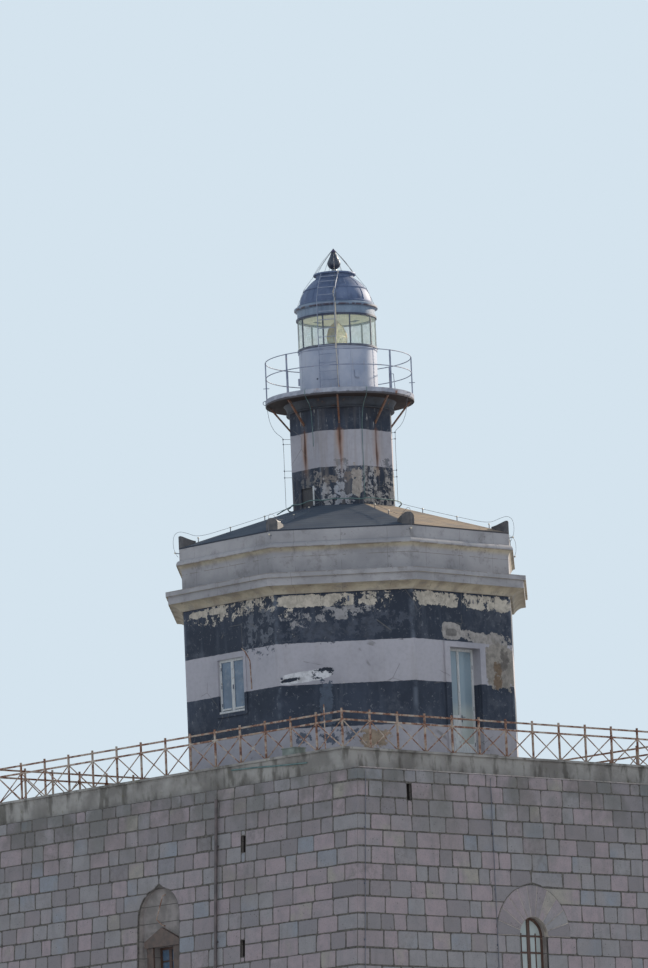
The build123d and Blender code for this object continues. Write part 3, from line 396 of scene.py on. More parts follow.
def banded_paint(name, bands, peel, patches):
    """White limewash with blackened bands, on old render. Bands are heights from and to."""
    coat = Coat(name, roughness=0.82)
    white = coat.layers(
        coat.mottle(0.45, WHITE_PAINT, OLD_WHITE, low=0.4, high=0.7, detail=6),
        (rgb(150, 144, 140), 0.22, coat.spots(1.1, 0.52, 0.72, detail=7, stretch=(3.2, 3.2, 0.35))),
        (DAMP, 0.12, coat.spots(9, 0.4, 0.7, shift=3)),
    )
    arris = coat.smooth(coat.math("ABSOLUTE", coat.fold()), radians(21.2), radians(22.4))
    black = coat.layers(
        coat.mottle(0.6, BLACK_PAINT, FADED_BLACK, low=0.42, high=0.72, detail=9),
        (rgb(98, 102, 110), 0.4, coat.spots(1.4, 0.50, 0.68, detail=10, roughness=0.74, shift=2)),
        (rgb(84, 91, 103), 0.3, coat.spots(1.6, 0.52, 0.70, detail=8, stretch=(3, 3, 0.4), shift=8)),
        (rgb(134, 136, 140), 0.5, coat.spots(7, 0.585, 0.62, detail=9, roughness=0.78, shift=6)),
        (rgb(112, 120, 132), 0.55, arris, coat.spots(2.5, 0.35, 0.6, shift=4)),
    )
    height = coat.swayed(coat.z, 0.05, 5, detail=5, shift=7)
    blackened = None
    for low, high in bands:
        band = coat.band(height, low, high, 0.008)
        blackened = coat.math("MAXIMUM", blackened, band) if blackened else band
    flakes = coat.noise(2.3, detail=10, roughness=0.68, shift=5)
    lifted = coat.math("ADD", flakes, peel(coat, blackened))
    off = coat.smooth(lifted, 0.70, 0.715)
    coat.bump(coat.math("SUBTRACT", 1, off), 0.004, 0.9)
    colour = coat.layers(
        coat.mix(blackened, white, black),
        (BARE_CREAM, off),
        (BARE_CEMENT, coat.smooth(lifted, 0.77, 0.79)),
    )
    for mask, tone in patches(coat):
        colour = coat.mix(mask, colour, tone)
    cracks = coat.smooth(coat.cells(0.9, "DISTANCE_TO_EDGE"), 0.012, 0.003)
    colour = coat.layers(colour, (DAMP, 0.6, cracks, coat.spots(0.7, 0.55, 0.6, shift=3)))
    coat.bump(coat.noise(2, detail=5), 0.02, 0.35)
    coat.bump(coat.noise(40, detail=5, roughness=0.7), 0.003, 0.5)
    return coat.done(colour)


def house_patches(coat):
    """Mended and bare places on the house, with the colour that each one has."""
    grain = coat.noise(3.5, detail=10, roughness=0.72, shift=1)
    shade = coat.spots(6, 0.38, 0.66, detail=8, roughness=0.7, shift=9)
    plan = (
        # plan angle, across, height, half sizes, colour, how crisp, core, tilt
        (DIAGONAL, -0.30, 4.02, 1.50, 0.30, rgb(70, 76, 88), 0.15, 0.9, 0.05),
        (DIAGONAL, -0.50, 4.30, 1.00, 0.16, rgb(150, 148, 148), 0.15, 0.98, 0.14),
        (DIAGONAL, -1.15, 4.72, 0.68, 0.17, BARE_CREAM, 0.9, 0.80, 0.0),
        (DIAGONAL, -0.13, 4.72, 0.42, 0.17, BARE_CREAM, 0.8, 0.92, 0.0),
        (DIAGONAL, 0.68, 4.72, 0.40, 0.17, BARE_CREAM, 0.5, 1.01, 0.0),
        (FRONT, -1.25, 4.76, 0.35, 0.10, BARE_CREAM, 0.5, 0.75, 0.0),
        (FRONT, -0.55, 4.78, 0.28, 0.09, BARE_CREAM, 0.7, 0.75, 0.0),
        (FRONT, 0.60, 4.72, 1.30, 0.20, BARE_CREAM, 0.15, 1.08, 0.0),
        (RIGHT, -0.90, 4.70, 0.85, 0.18, BARE_CREAM, 0.4, 0.85, 0.0),
        (RIGHT, 1.00, 4.68, 0.85, 0.20, BARE_CREAM, 0.4, 0.80, 0.0),
        (RIGHT, -0.42, 3.84, 0.36, 0.24, rgb(164, 158, 152), 0.9, 0.5, 0.0),
        (RIGHT, -0.42, 3.80, 0.20, 0.10, rgb(122, 118, 114), 0.5, 0.5, 0.0),
        (RIGHT, 0.62, 3.70, 0.75, 0.15, rgb(164, 158, 152), 0.35, 0.7, -0.1),
        (RIGHT, 1.35, 3.60, 0.45, 0.22, rgb(158, 152, 146), 0.35, 0.7, 0.0),
        (RIGHT, 1.38, 2.95, 0.60, 0.62, rgb(150, 143, 134), 0.7, 0.3, 0.0),
        (RIGHT, 1.30, 2.70, 0.16, 0.34, rgb(118, 100, 82), 0.25, 0.6, 0.0),
        (RIGHT, 1.55, 3.10, 0.14, 0.28, rgb(110, 104, 98), 0.25, 0.6, 0.0),
        (DIAGONAL, -1.12, 2.63, 0.72, 0.15, rgb(214, 213, 214), 2.2, 0.2, 0.12),
        (DIAGONAL, -1.58, 2.55, 0.26, 0.05, BLACK_PAINT, 0.35, 0.6, 0.12),
        (DIAGONAL, -0.66, 2.70, 0.28, 0.12, BLACK_PAINT, 0.35, 1.03, 0.1),
        (DIAGONAL, -0.58, 1.85, 0.16, 0.60, rgb(78, 88, 102), 0.3, 0.3, 0.0),
        (DIAGONAL, 0.70, 0.85, 0.38, 0.25, rgb(160, 142, 122), 0.35, 0.6, 0.0),
        (DIAGONAL, -0.65, 0.95, 0.75, 0.16, rgb(92, 100, 114), 0.2, 1.02, 0.0),
        (FRONT, 1.15, 4.00, 0.50, 0.50, rgb(98, 103, 112), 0.2, 1.09, 0.0),
    )
    yield from coat.patches(plan, HOUSE_FLAT, grain, shade, 0.62)
    joint = coat.joints(coat.math("MULTIPLY", coat.fold(), HOUSE_FLAT), 0.31, 0.014, 0.005)
    strip = coat.band(coat.z, CORNICE_Z - 0.38, CORNICE_Z, 0.01)
    yield coat.times(joint, coat.smooth(grain, 0.45, 0.5), strip, 0.7), DAMP


def house_peel(coat, blackened):
    """The paint of the house holds least under the cornice and on the black bands."""
    top = coat.smooth(coat.z, CORNICE_Z - 1.0, CORNICE_Z - 0.05)
    return coat.math("MULTIPLY_ADD", blackened, 0.02, coat.times(top, 0.075))


def no_patches(coat):
    """Window surrounds have no mended places."""
    return []


def surround_peel(coat, blackened):
    """Window surrounds have lost little of their limewash."""
    return -0.02


def shaft_patches(coat):
    """Pale and grey blotches, white drips, rust that runs down the middle of each side, and painted
    shade under the gallery.
    """
    grain = coat.noise(7, detail=9, roughness=0.66, shift=1)
    shade = coat.spots(9, 0.40, 0.62, detail=8, roughness=0.7, shift=9)
    plan = (
        # plan angle, across, height, half sizes, colour, how crisp, core, tilt
        (DIAGONAL, 0.04, 8.98, 0.15, 0.12, rgb(132, 134, 140), 0.22, 0.9, 0.0),
        (DIAGONAL, -0.01, 8.75, 0.13, 0.18, rgb(170, 170, 174), 0.25, 0.9, 0.3),
        (DIAGONAL, -0.31, 8.52, 0.20, 0.11, rgb(126, 118, 112), 0.25, 0.85, 0.2),
        (DIAGONAL, 0.18, 8.60, 0.11, 0.12, rgb(116, 106, 102), 0.22, 0.85, 0.0),
        (DIAGONAL, -0.08, 8.16, 0.14, 0.29, rgb(172, 174, 180), 0.3, 0.8, 0.3),
        (DIAGONAL, -0.42, 8.10, 0.13, 0.28, rgb(168, 166, 166), 0.25, 0.9, -0.6),
        (DIAGONAL, 0.44, 8.45, 0.15, 0.39, rgb(172, 162, 152), 0.35, 0.75, 0.0),
        (DIAGONAL, 0.18, 7.95, 0.15, 0.12, rgb(168, 168, 172), 0.22, 0.95, 0.0),
        (RIGHT, -0.34, 8.50, 0.24, 0.42, rgb(166, 164, 164), 0.25, 1.01, 0.0),
        (RIGHT, 0.46, 8.30, 0.16, 0.48, rgb(168, 163, 158), 0.25, 0.98, 0.0),
        (RIGHT, 0.02, 8.02, 0.50, 0.20, rgb(166, 162, 158), 0.22, 1.02, 0.0),
        (RIGHT, -0.03, 8.75, 0.10, 0.12, rgb(168, 158, 148), 0.3, 0.85, 0.0),
        (RIGHT, 0.37, 9.02, 0.15, 0.11, rgb(122, 124, 130), 0.2, 0.9, 0.0),
        (FRONT, 0.06, 8.52, 0.21, 0.18, rgb(108, 106, 106), 0.22, 0.95, 0.0),
        (FRONT, 0.47, 8.60, 0.14, 0.21, rgb(138, 132, 128), 0.22, 1.0, 0.0),
        (FRONT, 0.10, 8.30, 0.24, 0.05, rgb(176, 176, 180), 0.25, 0.8, 0.0),
    )
    yield from coat.patches(plan, SHAFT_FLAT, grain, shade, 0.72)
    white_top = SHAFT_WHITE[1]
    wash = coat.spots(2.4, 0.50, 0.66, detail=7, stretch=(2.6, 2.6, 0.25), shift=15)
    less = coat.smooth(coat.z, white_top - 0.03, white_top + 0.02)
    yield coat.times(wash, coat.math("MULTIPLY_ADD", less, -0.2, 0.32)), rgb(138, 128, 120)
    drips = coat.spots(3.2, 0.62, 0.65, detail=9, stretch=(2.4, 2.4, 0.45), shift=12)
    upper = coat.smooth(coat.z, white_top + 0.02, white_top + 0.22)
    yield coat.times(drips, upper, 0.8), rgb(176, 172, 170)
    across = coat.math("ABSOLUTE", coat.math("MULTIPLY", coat.fold(), SHAFT_FLAT))
    across = coat.swayed(across, 0.10, 1.5, stretch=(1, 1, 0.4), shift=6)
    run = coat.times(
        coat.smooth(coat.z, white_top - 1.45, white_top - 0.5),
        coat.spots(0.5, 0.22, 0.55, detail=1, shift=8),
        coat.spots(9, 0.25, 0.6, detail=6, stretch=(1, 1, 0.12)),
    )
    for half_width, share, top, colour in (
        (0.20, 0.6, white_top + 0.02, rgb(160, 126, 98)),
        (0.09, 0.8, white_top + 0.08, rgb(118, 76, 54)),
        (0.04, 1.0, STRUT_FOOT_Z, DARK_RUST),
    ):
        streak = coat.smooth(across, half_width, 0.25 * half_width)
        below = coat.smooth(coat.z, top + 0.03, top - 0.06)
        yield coat.times(run, streak, below, share), colour
    # Painted shade: the shaft darkens just under the overhang of the gallery slab.
    neck = coat.smooth(coat.z, GALLERY_UNDER_Z - 0.7, GALLERY_UNDER_Z - 0.2)
    yield coat.times(neck, 0.4), rgb(52, 48, 50)


def shaft_peel(coat, blackened):
    """Paint is off the lower black band of the sides away from the front and right."""
    low = coat.smooth(coat.z, SHAFT_WHITE[0] + 0.1, SHAFT_WHITE[0] - 0.2)
    away = coat.smooth(coat.outwards(DIAGONAL), 0.45, 0.35)
    return coat.math("MULTIPLY_ADD", coat.times(low, blackened, away), 0.20, -0.02)


def trim_coat():
    """Grey-beige render of the cornice and attic, with stains, fine joints and chips, and painted
    bounce light on faces that look down.
    """
    coat = Coat("trim_render_and_painted_bounce_light", roughness=0.85)
    # Painted bounce light: faces that look down get a paler, yellower beige.
    under = coat.mottle(2.5, rgb(190, 178, 152), rgb(160, 146, 122), detail=7)
    broken = coat.spots(3, 0.4, 0.5, shift=1)
    joint = coat.joints(coat.math("MULTIPLY", coat.fold(), HOUSE_FLAT), 0.62, 0.010, 0.003)
    lines = []
    for height, half, share in ((0.0, 0.02, 0.5), (0.486, 0.006, 0.7), (0.745, 0.014, 0.5)):
        line = coat.band(coat.z, ATTIC_Z + height - half, ATTIC_Z + height + half, half)
        lines.append((rgb(104, 90, 72), share, broken, line))
    colour = coat.layers(
        coat.mottle(0.8, rgb(168, 165, 165), rgb(146, 144, 145), detail=7),
        (under, 0.85, coat.facing_down()),
        (rgb(120, 116, 114), 0.5, coat.spots(2.6, 0.50, 0.66, detail=9, roughness=0.7, shift=2)),
        (rgb(94, 88, 86), 0.6, coat.spots(5, 0.6, 0.68, detail=8, roughness=0.7, shift=6)),
        *lines,
        (rgb(92, 86, 80), 0.4, broken, joint),
    )
    coat.bump(coat.noise(6, detail=8, roughness=0.65), 0.008, 0.5)
    coat.bump(coat.noise(40), 0.002, 0.5)
    return coat.done(colour)


def terrace_coat():
    """Damp grey-brown render of the band under the terrace, and its paving."""
    coat = Coat("terrace_render", roughness=0.92)
    joints = [coat.joints(axis, 0.30, 0.010, 0.004) for axis in (coat.x, coat.y)]
    paving = coat.facing_down(-0.8, -0.95)
    colour = coat.layers(
        coat.mottle(1.1, rgb(162, 158, 151), rgb(124, 120, 114), detail=8),
        (rgb(78, 74, 66), 0.7, coat.spots(1.7, 0.5, 0.66, detail=8, stretch=(2, 2, 0.7), shift=3)),
        (rgb(96, 94, 64), 0.5, coat.spots(4, 0.58, 0.68, detail=8, roughness=0.7, shift=8)),
        (rgb(70, 66, 58), 0.8, paving, coat.math("MAXIMUM", *joints)),
    )
    coat.bump(coat.noise(7, detail=8, roughness=0.7), 0.02, 0.7)
    return coat.done(colour)


def roof_coat():
    """Grey sheet roof in narrow courses, bluish on some sides, the right ones tan with painted
    sunlight.
    """
    coat = Coat("roof_sheet_and_painted_sunlight", roughness=0.85, specular=0.15)
    east = coat.math("ARCTAN2", coat.y, coat.x)
    # Painted sunlight: the sides that look right are a pale tan, as if lit by the low sun.
    painted_sunlight = coat.band(east, radians(RIGHT - TURN / 2), radians(RIGHT + 1.5 * TURN), 0.02)
    course = coat.math("PINGPONG", coat.z, 0.05)
    colour = coat.layers(
        coat.mottle(0.9, rgb(66, 76, 90), rgb(82, 90, 100), detail=8),
        (coat.mottle(1.5, rgb(172, 150, 124), rgb(148, 134, 118), detail=8), 0.85, painted_sunlight),
        (rgb(68, 71, 77), coat.smooth(course, 0.008, 0.002)),
        (rgb(76, 76, 80), 0.4, coat.spots(2.0, 0.55, 0.72, detail=7, shift=4)),
        (rgb(58, 58, 60), 0.7, coat.spots(5, 0.64, 0.68, detail=8, roughness=0.75, shift=7)),
        (rgb(62, 66, 74), 0.8, coat.smooth(coat.z, EAVE_Z + 0.05, EAVE_Z + 0.03)),
    )
    coat.bump(coat.smooth(course, 0.0, 0.012), 0.006, 0.6)
    coat.bump(coat.noise(14, detail=6), 0.003, 0.5)
    return coat.done(colour)


def rusty_paint(name, fresh, worn, rust_from, rust_to, scale=7.0):
    """Painted iron that rusts through: spots first, then whole lengths."""
    coat = Coat(name, roughness=0.6)
    flake = coat.noise(scale, detail=9, roughness=0.7)
    deep = coat.spots(3 * scale, 0.5, 0.62, detail=6, shift=3)
    colour = coat.layers(
        coat.mottle(4, fresh, worn, detail=6),
        (BRIGHT_RUST, 0.75, coat.smooth(flake, rust_from - 0.07, rust_to)),
        (RUST, coat.smooth(flake, rust_from, rust_to)),
        (DARK_RUST, deep, coat.smooth(flake, rust_from, rust_to + 0.05)),
    )
    coat.bump(flake, 0.004, 0.7)
    return coat.done(colour)


def lantern_coat():
    """Pale grey paint on the plates of the drum, with spots of rust and runs below them."""
    coat = Coat("lantern_paint", roughness=0.45)
    foot = coat.smooth(coat.z, GALLERY_Z + 0.22, GALLERY_Z)
    colour = coat.layers(
        coat.mottle(1.5, rgb(168, 173, 186), rgb(146, 155, 174), detail=6),
        (rgb(150, 138, 124), 0.35, coat.spots(4, 0.58, 0.74, detail=7, stretch=(2.5, 2.5, 0.25))),
        (RUST, coat.spots(16, 0.66, 0.72, detail=8, roughness=0.7, shift=2)),
        (RUST, 0.75, foot, coat.spots(5, 0.38, 0.6, shift=5)),
    )
    coat.bump(coat.noise(3), 0.004, 0.4)
    return coat.done(colour)


def entablature_coat():
    """Blue-grey paint over the glass: a rusty line along the gutter, a dark ring at the foot."""
    coat = Coat("entablature_paint", roughness=0.5)
    gutter = coat.band(coat.z, DOME_Z - 0.15, DOME_Z - 0.10, 0.012)
    colour = coat.layers(
        coat.mottle(2.5, rgb(124, 140, 158), rgb(104, 121, 141), detail=7),
        (rgb(84, 96, 112), 0.5, coat.spots(5, 0.52, 0.72, detail=7, stretch=(2.5, 2.5, 0.3))),
        (rgb(44, 50, 72), coat.smooth(coat.z, ENTABLATURE_Z + 0.056, ENTABLATURE_Z + 0.048)),
        (rgb(70, 60, 72), gutter, coat.spots(6, 0.35, 0.5, detail=5, shift=3)),
    )
    coat.bump(coat.noise(6), 0.003, 0.4)
    return coat.done(colour)


def dome_coat():
    """Blue-grey sheet metal with darker runs and a dark rim at the lid."""
    coat = Coat("dome_sheet", roughness=0.62, metallic=0.1)
    colour = coat.layers(
        coat.mottle(2.2, rgb(78, 94, 124), rgb(98, 112, 140), detail=7),
        (rgb(66, 78, 104), 0.6, coat.spots(3.5, 0.5, 0.72, detail=7, stretch=(2, 2, 0.5), shift=3)),
        (rgb(140, 148, 164), 0.3, coat.spots(9, 0.55, 0.66, detail=9, roughness=0.7, shift=5)),
        (rgb(52, 58, 96), 0.8, coat.smooth(coat.z, LID_Z - 0.035, LID_Z - 0.02)),
        (DARK_RUST, 0.6, coat.spots(18, 0.66, 0.72, detail=8, roughness=0.7)),
    )
    coat.bump(coat.noise(4), 0.006, 0.35)
    return coat.done(colour)


def finial_coat():
    """Dark old metal of the finial, its neck paler with painted sunlight, its foot and tip bluish."""
    coat = Coat("finial_metal_and_painted_sunlight", roughness=0.5, metallic=0.25)
    # Painted sunlight: the neck is a pale grey, as if lit by the sun.
    pale = coat.mottle(12, rgb(176, 178, 172), rgb(126, 132, 140), detail=6)
    colour = coat.layers(
        coat.mottle(9, rgb(50, 56, 72), rgb(72, 78, 88), detail=7),
        (pale, coat.smooth(coat.z, LID_Z + 0.125, LID_Z + 0.09)),
        (rgb(74, 80, 106), coat.smooth(coat.z, LID_Z + 0.05, LID_Z + 0.02)),
        (rgb(60, 52, 84), coat.smooth(coat.z, TIP_Z - 0.12, TIP_Z - 0.10)),
    )
    coat.bump(coat.noise(20, detail=5), 0.002, 0.5)
    return coat.done(colour)


def wood_coat(name, fresh, worn, under):
    """Painted wood with grain, flaking in places."""
    coat = Coat(name, roughness=0.6)
    grain = coat.noise(14, detail=6, stretch=(3, 3, 0.35))
    flake = coat.spots(11, 0.6, 0.64, detail=9, roughness=0.7, shift=2)
    coat.bump(grain, 0.003, 0.7)
    coat.bump(coat.math("SUBTRACT", 1, flake), 0.001, 0.8)
    paint = coat.mix(coat.smooth(grain, 0.35, 0.65), fresh, worn)
    return coat.done(coat.layers(paint, (under, flake)))


def window_coat():
    """Dusty window glass before pale blinds, brighter in the door of the house with a painted pale
    reflection.
    """
    coat = Coat("dusty_glass_and_painted_reflection", roughness=0.10)
    coat.shader.inputs["Transmission Weight"].default_value = 0.12
    door = coat.smooth(coat.x, HOUSE_FLAT - 0.6, HOUSE_FLAT - 0.5)
    low = coat.smooth(coat.z, TERRACE_Z + 2.0, TERRACE_Z + 1.5)
    colour = coat.layers(
        coat.mottle(2.2, rgb(96, 118, 140), rgb(80, 101, 122), detail=5),
        # Painted reflection: the glass of the door is paler and brighter.
        (rgb(150, 168, 176), 0.8, door),
        (rgb(190, 194, 184), 0.7, door, low),
        (rgb(158, 164, 166), 0.35, coat.spots(7, 0.5, 0.75, detail=8, shift=2)),
    )
    coat.bump(coat.noise(1.5, detail=2), 0.004, 0.3)
    return coat.done(colour)


def lantern_glass_coat():
    """Clear bent panes of the lantern, a little salty."""
    coat = Coat("lantern_panes", roughness=0.05)
    coat.material.surface_render_method = "BLENDED"
    salt = coat.spots(5, 0.45, 0.8, detail=8, shift=2)
    coat.feed(coat.shader.inputs["Alpha"], coat.math("MULTIPLY_ADD", salt, 0.14, 0.20))
    return coat.done(coat.mottle(3, rgb(202, 220, 206), rgb(222, 228, 212)))


def lens_coat():
    """Cast optical glass, pale straw in its thickness, with fine bright glints painted on as glow."""
    coat = Coat("optical_glass_and_painted_glints", roughness=0.03)
    coat.shader.inputs["Transmission Weight"].default_value = 0.75
    coat.shader.inputs["IOR"].default_value = 1.52
    coat.shader.inputs["Emission Color"].default_value = rgb(255, 250, 214)
    # Painted highlights: the glints glow, with no lamp behind them.
    glint = coat.spots(34, 0.53, 0.64, roughness=0.6, shift=4)
    coat.feed(coat.shader.inputs["Emission Strength"], coat.times(glint, 0.9))
    return coat.done(coat.mottle(4, rgb(246, 242, 214), rgb(208, 214, 186)))


def brass_coat():
    """Tarnished brass of the lens frame."""
    coat = Coat("old_brass", roughness=0.38, metallic=0.85)
    colour = coat.layers(
        coat.mottle(9, rgb(176, 146, 86), rgb(120, 98, 60), detail=6),
        (rgb(74, 62, 44), 0.6, coat.spots(22, 0.55, 0.7, detail=7, shift=3)),
    )
    coat.bump(coat.noise(30), 0.001, 0.4)
    return coat.done(colour)


def slab_coat():
    """Grey paint on the edge and top of the gallery slab, a rusty drip edge, and a dark underside of
    rust and painted shade.
    """
    coat = Coat("slab_paint_rust_and_painted_shade", roughness=0.85, specular=0.2)
    # Partly rust and partly painted shade: faces that look down are a dark rust brown.
    under = coat.mottle(3, rgb(36, 32, 31), rgb(78, 54, 40), detail=9, roughness=0.7)
    flake = coat.noise(3, detail=9, roughness=0.7)
    height = coat.swayed(coat.z, 0.06, 7, detail=6, shift=4)
    drip = coat.smooth(height, GALLERY_UNDER_Z + 0.075, GALLERY_UNDER_Z + 0.055)
    colour = coat.layers(
        coat.mottle(4, rgb(172, 175, 184), rgb(146, 150, 160), detail=6),
        (under, coat.facing_down()),
        (BRIGHT_RUST, 0.7, coat.smooth(flake, 0.58, 0.72)),
        (RUST, coat.smooth(flake, 0.65, 0.72)),
        (rgb(62, 55, 54), 0.85, drip),
    )
    coat.bump(flake, 0.004, 0.7)
    return coat.done(colour)


def plain_coat(name, fresh, worn, scale=5, roughness=0.55, metallic=0.0):
    """Two tones of one paint, sheath or metal."""
    coat = Coat(name, roughness, metallic)
    return coat.done(coat.mottle(scale, fresh, worn, detail=6))


def ceiling_coat():
    """Cream paint on the ceiling of the lantern, with a faint painted glow."""
    coat = Coat("ceiling_paint_and_painted_glow", roughness=0.7)
    # Painted light: the ceiling glows faintly cream, though no lamp is there.
    coat.shader.inputs["Emission Color"].default_value = rgb(200, 196, 160)
    coat.shader.inputs["Emission Strength"].default_value = 0.25
    return coat.done(coat.mottle(2, rgb(222, 218, 186), rgb(204, 200, 170), detail=6))


ASHLAR = stone_coat()
COATS = {
    "tower_stone": wall_coat(),
    "dressed_stone": dressed_coat(),
    "terrace_render": terrace_coat(),
    "floor_slab": terrace_coat(),
    "house_plaster": banded_paint(
        "house_paint", [LOWER_BLACK, UPPER_BLACK], house_peel, house_patches
    ),
    "trim_plaster": trim_coat(),
    "roof_slate": roof_coat(),
    "railing_iron": rusty_paint(
        "terrace_railing_paint", rgb(178, 166, 152), rgb(150, 134, 118), 0.47, 0.58, 5
    ),
    "gallery_iron": rusty_paint(
        "gallery_paint", rgb(150, 156, 172), rgb(112, 120, 140), 0.63, 0.70
    ),
    "lantern_metal": lantern_coat(),
    "dome_metal": dome_coat(),
    "brown_wood": wood_coat("brown_wood", rgb(86, 62, 50), rgb(66, 48, 40), rgb(120, 102, 86)),
    "cream_wood": wood_coat(
        "cream_wood", rgb(206, 207, 204), rgb(182, 184, 184), rgb(150, 140, 126)
    ),
    "window_glass": window_coat(),
    "lens_glass": lens_coat(),
    "lens_brass": brass_coat(),
    "pedestal_iron": rusty_paint(
        "pedestal_paint", rgb(86, 104, 98), rgb(70, 84, 82), 0.66, 0.72
    ),
}
SURROUND_PAINT = banded_paint("surround_paint", [LOWER_BLACK], surround_peel, no_patches)
COPPER = plain_coat(
    "green_copper", rgb(78, 106, 106), rgb(108, 130, 126), scale=6, roughness=0.65, metallic=0.2
)
GREY_CABLE = plain_coat("grey_cable", rgb(104, 106, 114), rgb(80, 82, 90))
WHITE_CABLE = plain_coat("white_cable", rgb(206, 196, 176), rgb(176, 166, 150))
BOX_PAINT = plain_coat("box_paint", rgb(128, 136, 128), rgb(100, 108, 102))
BAR_PAINT = plain_coat("bar_paint", rgb(92, 98, 112), rgb(64, 68, 82))
OWN_COATS = {
    "shaft_wall": banded_paint(
        "shaft_paint_and_painted_shade",
        [(ROOF_TOP_Z - 1, SHAFT_WHITE[0]), (SHAFT_WHITE[1], GALLERY_UNDER_Z + 0.2)],
        shaft_peel,
        shaft_patches,
    ),
    "gallery_neck": rusty_paint("neck_paint", rgb(60, 64, 72), rgb(46, 48, 55), 0.64, 0.76, 4),
    "gallery_slab": slab_coat(),
    "ladder": plain_coat("ladder_paint", rgb(150, 157, 173), rgb(122, 131, 150)),
    "gallery_struts": rusty_paint("strut_paint", rgb(104, 86, 78), rgb(78, 66, 62), 0.46, 0.60, 5),
    "house_window_surrounds": SURROUND_PAINT,
    "door_architrave": SURROUND_PAINT,
    "corner_blocks": plain_coat("block_render", rgb(84, 80, 80), rgb(58, 58, 62)),
    "shaft_hatch": wood_coat("hatch_wood", rgb(52, 50, 54), rgb(40, 39, 43), rgb(84, 74, 66)),
    "lantern_sill": BAR_PAINT,
    "lantern_bars": BAR_PAINT,
    "lantern_entablature": entablature_coat(),
    "lantern_ceiling": ceiling_coat(),
    "finial": finial_coat(),
    "lantern_glass": lantern_glass_coat(),
    "drainpipes": plain_coat("drainpipe_paint", rgb(96, 86, 84), rgb(72, 66, 66)),
    "window_hoods": plain_coat("hood_paint", rgb(92, 74, 64), rgb(70, 58, 52)),
}

for row in frame["record"]["subparts"]:
    obj = nodes[row["node"]]
    coat = OWN_COATS.get(row["node"], COATS[row["material_slot"]])
    for slot in obj.material_slots:
        slot.material = coat


# Pieces


def add_piece(name, data, slot, material=None):
    """An object that rides on the tower, in the coat of its slot unless it has its own."""
    data.materials.append(material or COATS[slot])
    obj = bpy.data.objects.new(name, data)
    bpy.context.collection.objects.link(obj)
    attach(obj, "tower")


class Shape:
    """Collects points and faces in the frame of the model, and makes them into one piece."""

    def __init__(self):
        self.points, self.faces, self.tints = [], [], []

    def add(self, points, faces, tint=(0.5, 0.5, 0.0)):
        first = len(self.points)
        self.points += [tuple(point) for point in points]
        self.faces += [[first + k for k in face] for face in faces]
        self.tints += [tint] * len(points)

    def rings(self, rings):
        """Join equal rings of points by quads, and cap the first and the last."""
        count = len(rings[0])
        faces = ring_faces(count, range(len(rings) - 1))
        faces.append(list(range(count))[::-1])
        faces.append([(len(rings) - 1) * count + n for n in range(count)])
        self.add([point for ring in rings for point in ring], faces)

    def moulding(self, radius, z, profile, steps=72):
        """A closed profile of points (outwards, upwards) from a circle, run round the axis."""
        count = len(profile)
        points, faces = [], []
        for k in range(steps):
            points += [polar(radius + out, 360 * k / steps, z + up) for out, up in profile]
            after = (k + 1) % steps
            for n in range(count):
                m = (n + 1) % count
                faces.append([k * count + n, k * count + m, after * count + m, after * count + n])
        self.add(points, faces)

    def prism(self, outline, low, high, matrix, bevel=0.0):
        """An outline of (x, y) between two depths of a face, its front edge bevelled."""
        rings = [(outline, low), (outline, high - bevel)]
        if bevel:
            rings.append((drawn_in(outline, bevel), high))
        self.rings([[matrix @ Vector((x, y, depth)) for x, y in ring] for ring, depth in rings])

    def box(self, centre, size, matrix, bevel=0.004):
        """A box with bevelled front edges: its middle on a face, its sizes and its depths."""
        (x, y), (width, height, low, high) = centre, size
        signs = ((-1, -1), (1, -1), (1, 1), (-1, 1))
        outline = [(x + a * width / 2, y + b * height / 2) for a, b in signs]
        self.prism(outline, low, high, matrix, bevel)

    def piece(self, name, slot, material=None, smooth=30):
        """Make the piece, smooth below an angle, with a tint for each block."""
        mesh = bpy.data.meshes.new(name)
        mesh.from_pydata(self.points, [], self.faces)
        mesh.update()
        tint = mesh.color_attributes.new("tint", "FLOAT_COLOR", "POINT")
        tint.data.foreach_set("color", [v for row in self.tints for v in (*row, 1.0)])
        mesh.polygons.foreach_set("use_smooth", [True] * len(mesh.polygons))
        mesh.set_sharp_from_angle(angle=radians(smooth))
        add_piece(name, mesh, slot, material)


def ring_faces(count, ring_numbers):
    """Quads from each of the numbered rings of so many points to the next one."""
    faces = []
    for k in ring_numbers:
        for n in range(count):
            here, there = k * count + n, k * count + (n + 1) % count
            faces.append([here, there, there + count, here + count])
    return faces


def wires(name, routes, radius, slot, material=None, smooth=False, sides=2):
    """Round bars or wires along routes of points, as one piece."""
    curve = bpy.data.curves.new(name, "CURVE")
    curve.dimensions = "3D"
    curve.bevel_depth = radius
    curve.bevel_resolution = sides
    curve.use_fill_caps = True
    for route in routes:
        spline = curve.splines.new("NURBS" if smooth else "POLY")
        spline.points.add(len(route) - 1)
        for point, place in zip(spline.points, route):
            point.co = (*place, 1)
        if smooth:
            spline.order_u = 3
            spline.use_endpoint_u = True
    add_piece(name, curve, slot, material)


def rivets(name, places, radius, slot, material=None):
    """Round rivet heads at places, each a point and the way that it looks."""
    shape = Shape()
    sides = 6
    for place, out in places:
        side = out.orthogonal().normalized()
        other = out.cross(side)
        turns = [2 * pi * k / sides for k in range(sides)]
        rings = []
        for share, lift in ((1.0, -0.3), (0.85, 0.35), (0.4, 0.65)):
            around = [cos(turn) * side + sin(turn) * other for turn in turns]
            rings.append([place + radius * share * way + radius * lift * out for way in around])
        shape.rings(rings)
    shape.piece(name, slot, material, smooth=50)


